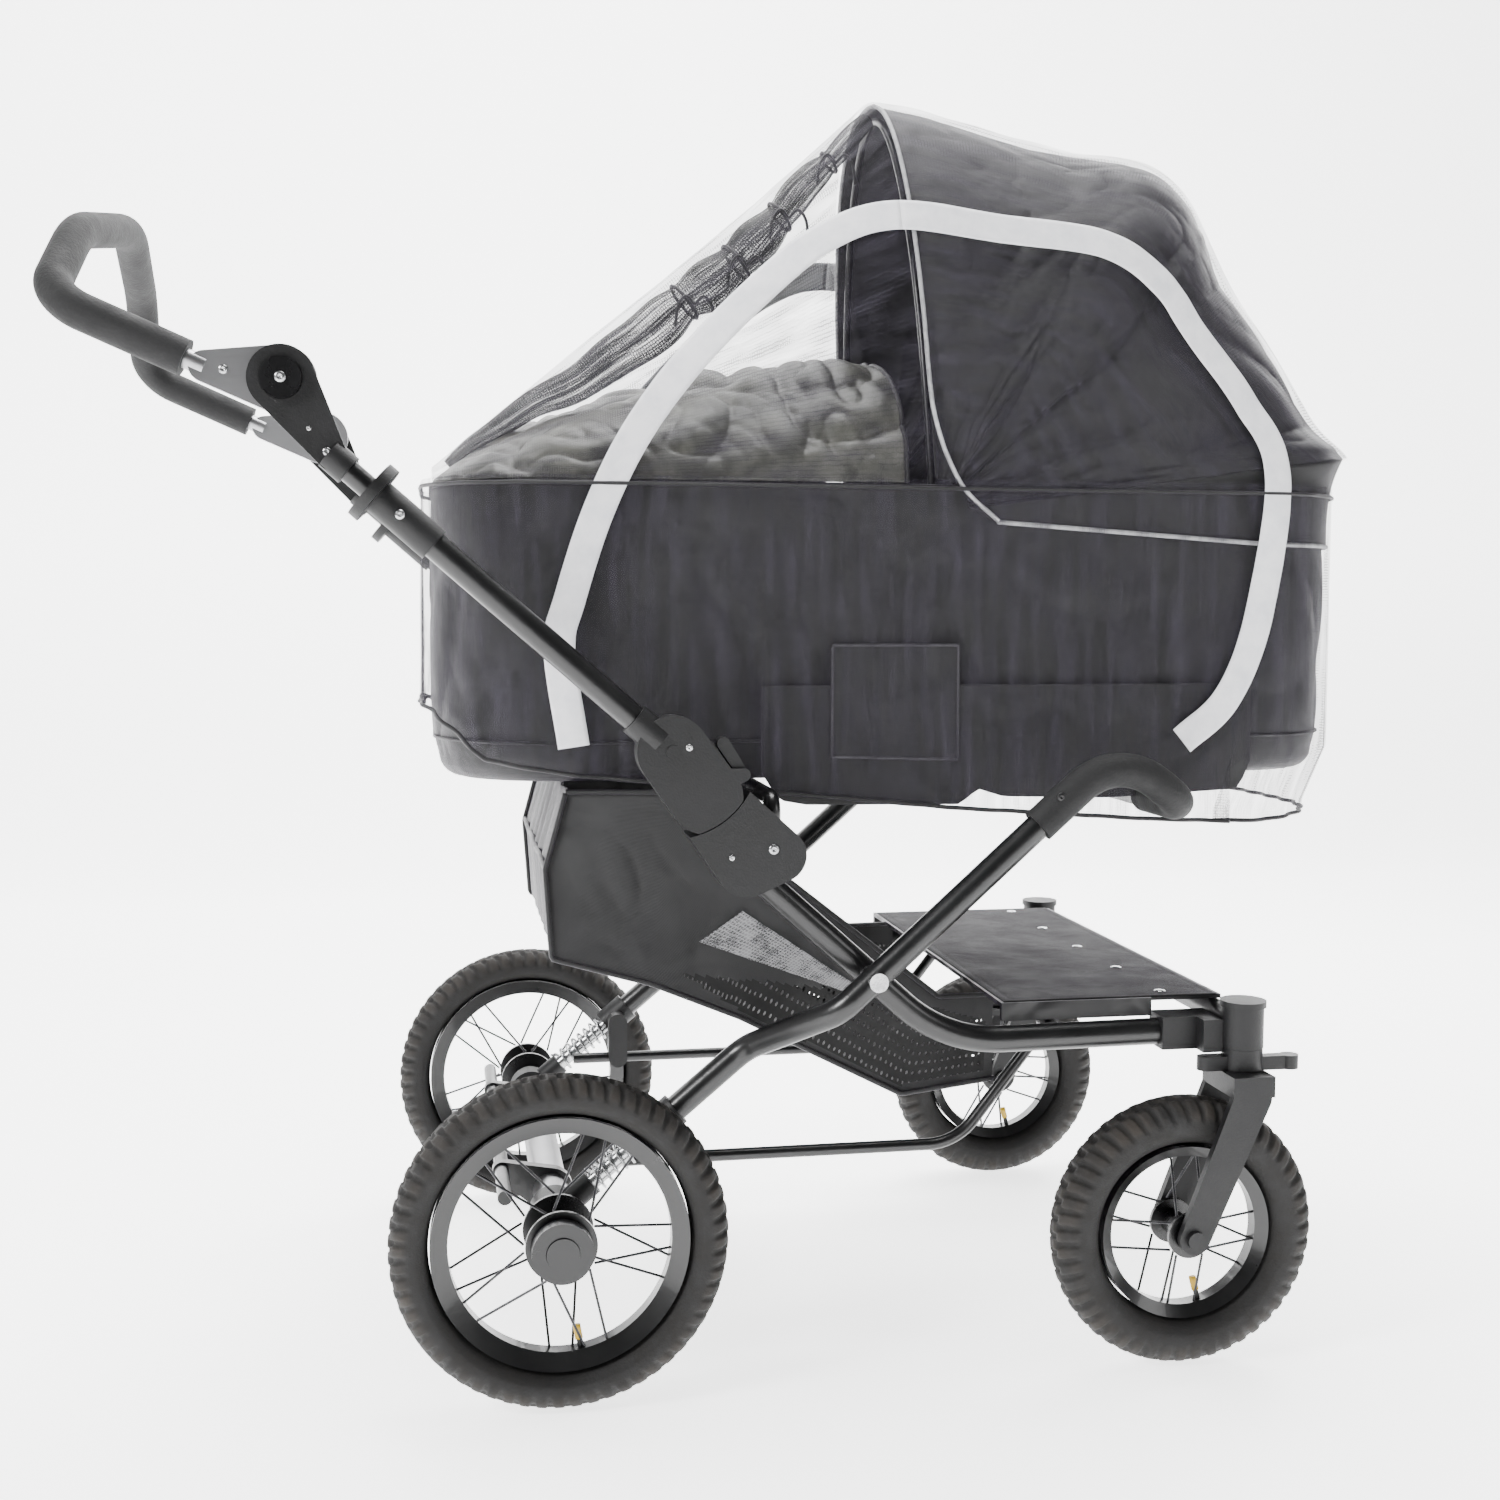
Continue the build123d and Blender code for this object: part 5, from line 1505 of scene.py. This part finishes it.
def camera() -> None:
    """Place the camera: a 43 mm lens at standing height, turned and tipped a little."""
    data = bpy.data.cameras.new("camera")
    data.lens, data.sensor_width, data.dof.use_dof = 42.87, 36.0, False
    made = bpy.data.objects.new("camera", data)
    made.location = (-0.3103, -1.90365, 0.73893)
    made.rotation_euler = Euler((math.radians(90 - 4.67), math.radians(-0.1), math.radians(-9.95)))
    bpy.context.scene.collection.objects.link(made)
    bpy.context.scene.camera = made


def studio() -> None:
    """A white sweep of floor and wall with five soft boxes, one of which lights the wall itself."""
    turn = np.linspace(0, math.pi / 2, 24)
    profile = [(-6000, -2.0), *[(2600 + 900 * math.sin(t), 898 - 900 * math.cos(t)) for t in turn],
               (3500, 5200)]
    grid = np.array([[(x - REAR_AXLE_X / MM, y, z) for x in (-7000, 0, 7000)] for y, z in profile])
    floor = surface("floor", grid)
    plain = bpy.data.materials.new("white_paper")
    plain.use_nodes = True
    shader = plain.node_tree.nodes["Principled BSDF"]
    shader.inputs["Base Color"].default_value = linear("#f4f4f4")
    shader.inputs["Roughness"].default_value = 0.9
    shader.inputs["Emission Color"].default_value = linear("#ffffff")
    shader.inputs["Emission Strength"].default_value = 2.6
    floor.data.materials.append(plain)
    for name, place_at, aim, size, power in (
            ("key", (-2.7, -1.5, 2.3), (0.0, 0.0, 0.7), 0.9, 130),
            ("fill", (2.6, -1.9, 1.4), (0.0, 0.0, 0.5), 1.0, 18),
            ("top", (0.2, 0.1, 3.2), (0.0, 0.0, 0.4), 1.4, 110),
            ("rim", (1.9, 1.6, 2.2), (0.2, 0.0, 0.9), 1.2, 70),
            ("paper", (0.0, 1.4, 4.2), (0.0, 4.0, 0.6), 3.0, 260)):
        data = bpy.data.lights.new(name, "AREA")
        data.size, data.energy = size, power
        lamp = bpy.data.objects.new(name, data)
        lamp.location = place_at
        away = np.array(place_at) - np.array(aim)
        tip, turn = math.acos(away[2] / np.linalg.norm(away)), math.atan2(away[1], away[0]) + math.pi / 2
        lamp.rotation_euler = Euler((tip, 0, turn))
        bpy.context.scene.collection.objects.link(lamp)
    world = bpy.data.worlds.new("studio")
    world.use_nodes = True
    world.node_tree.nodes["Background"].inputs[0].default_value = linear("#ffffff")
    world.node_tree.nodes["Background"].inputs[1].default_value = 0.16
    bpy.context.scene.world = world


def main() -> None:
    """Build the stroller, the camera and the light."""
    logging.basicConfig(level=logging.INFO)
    Stroller().build()
    camera()
    studio()


if __name__ == "__main__":
    main()
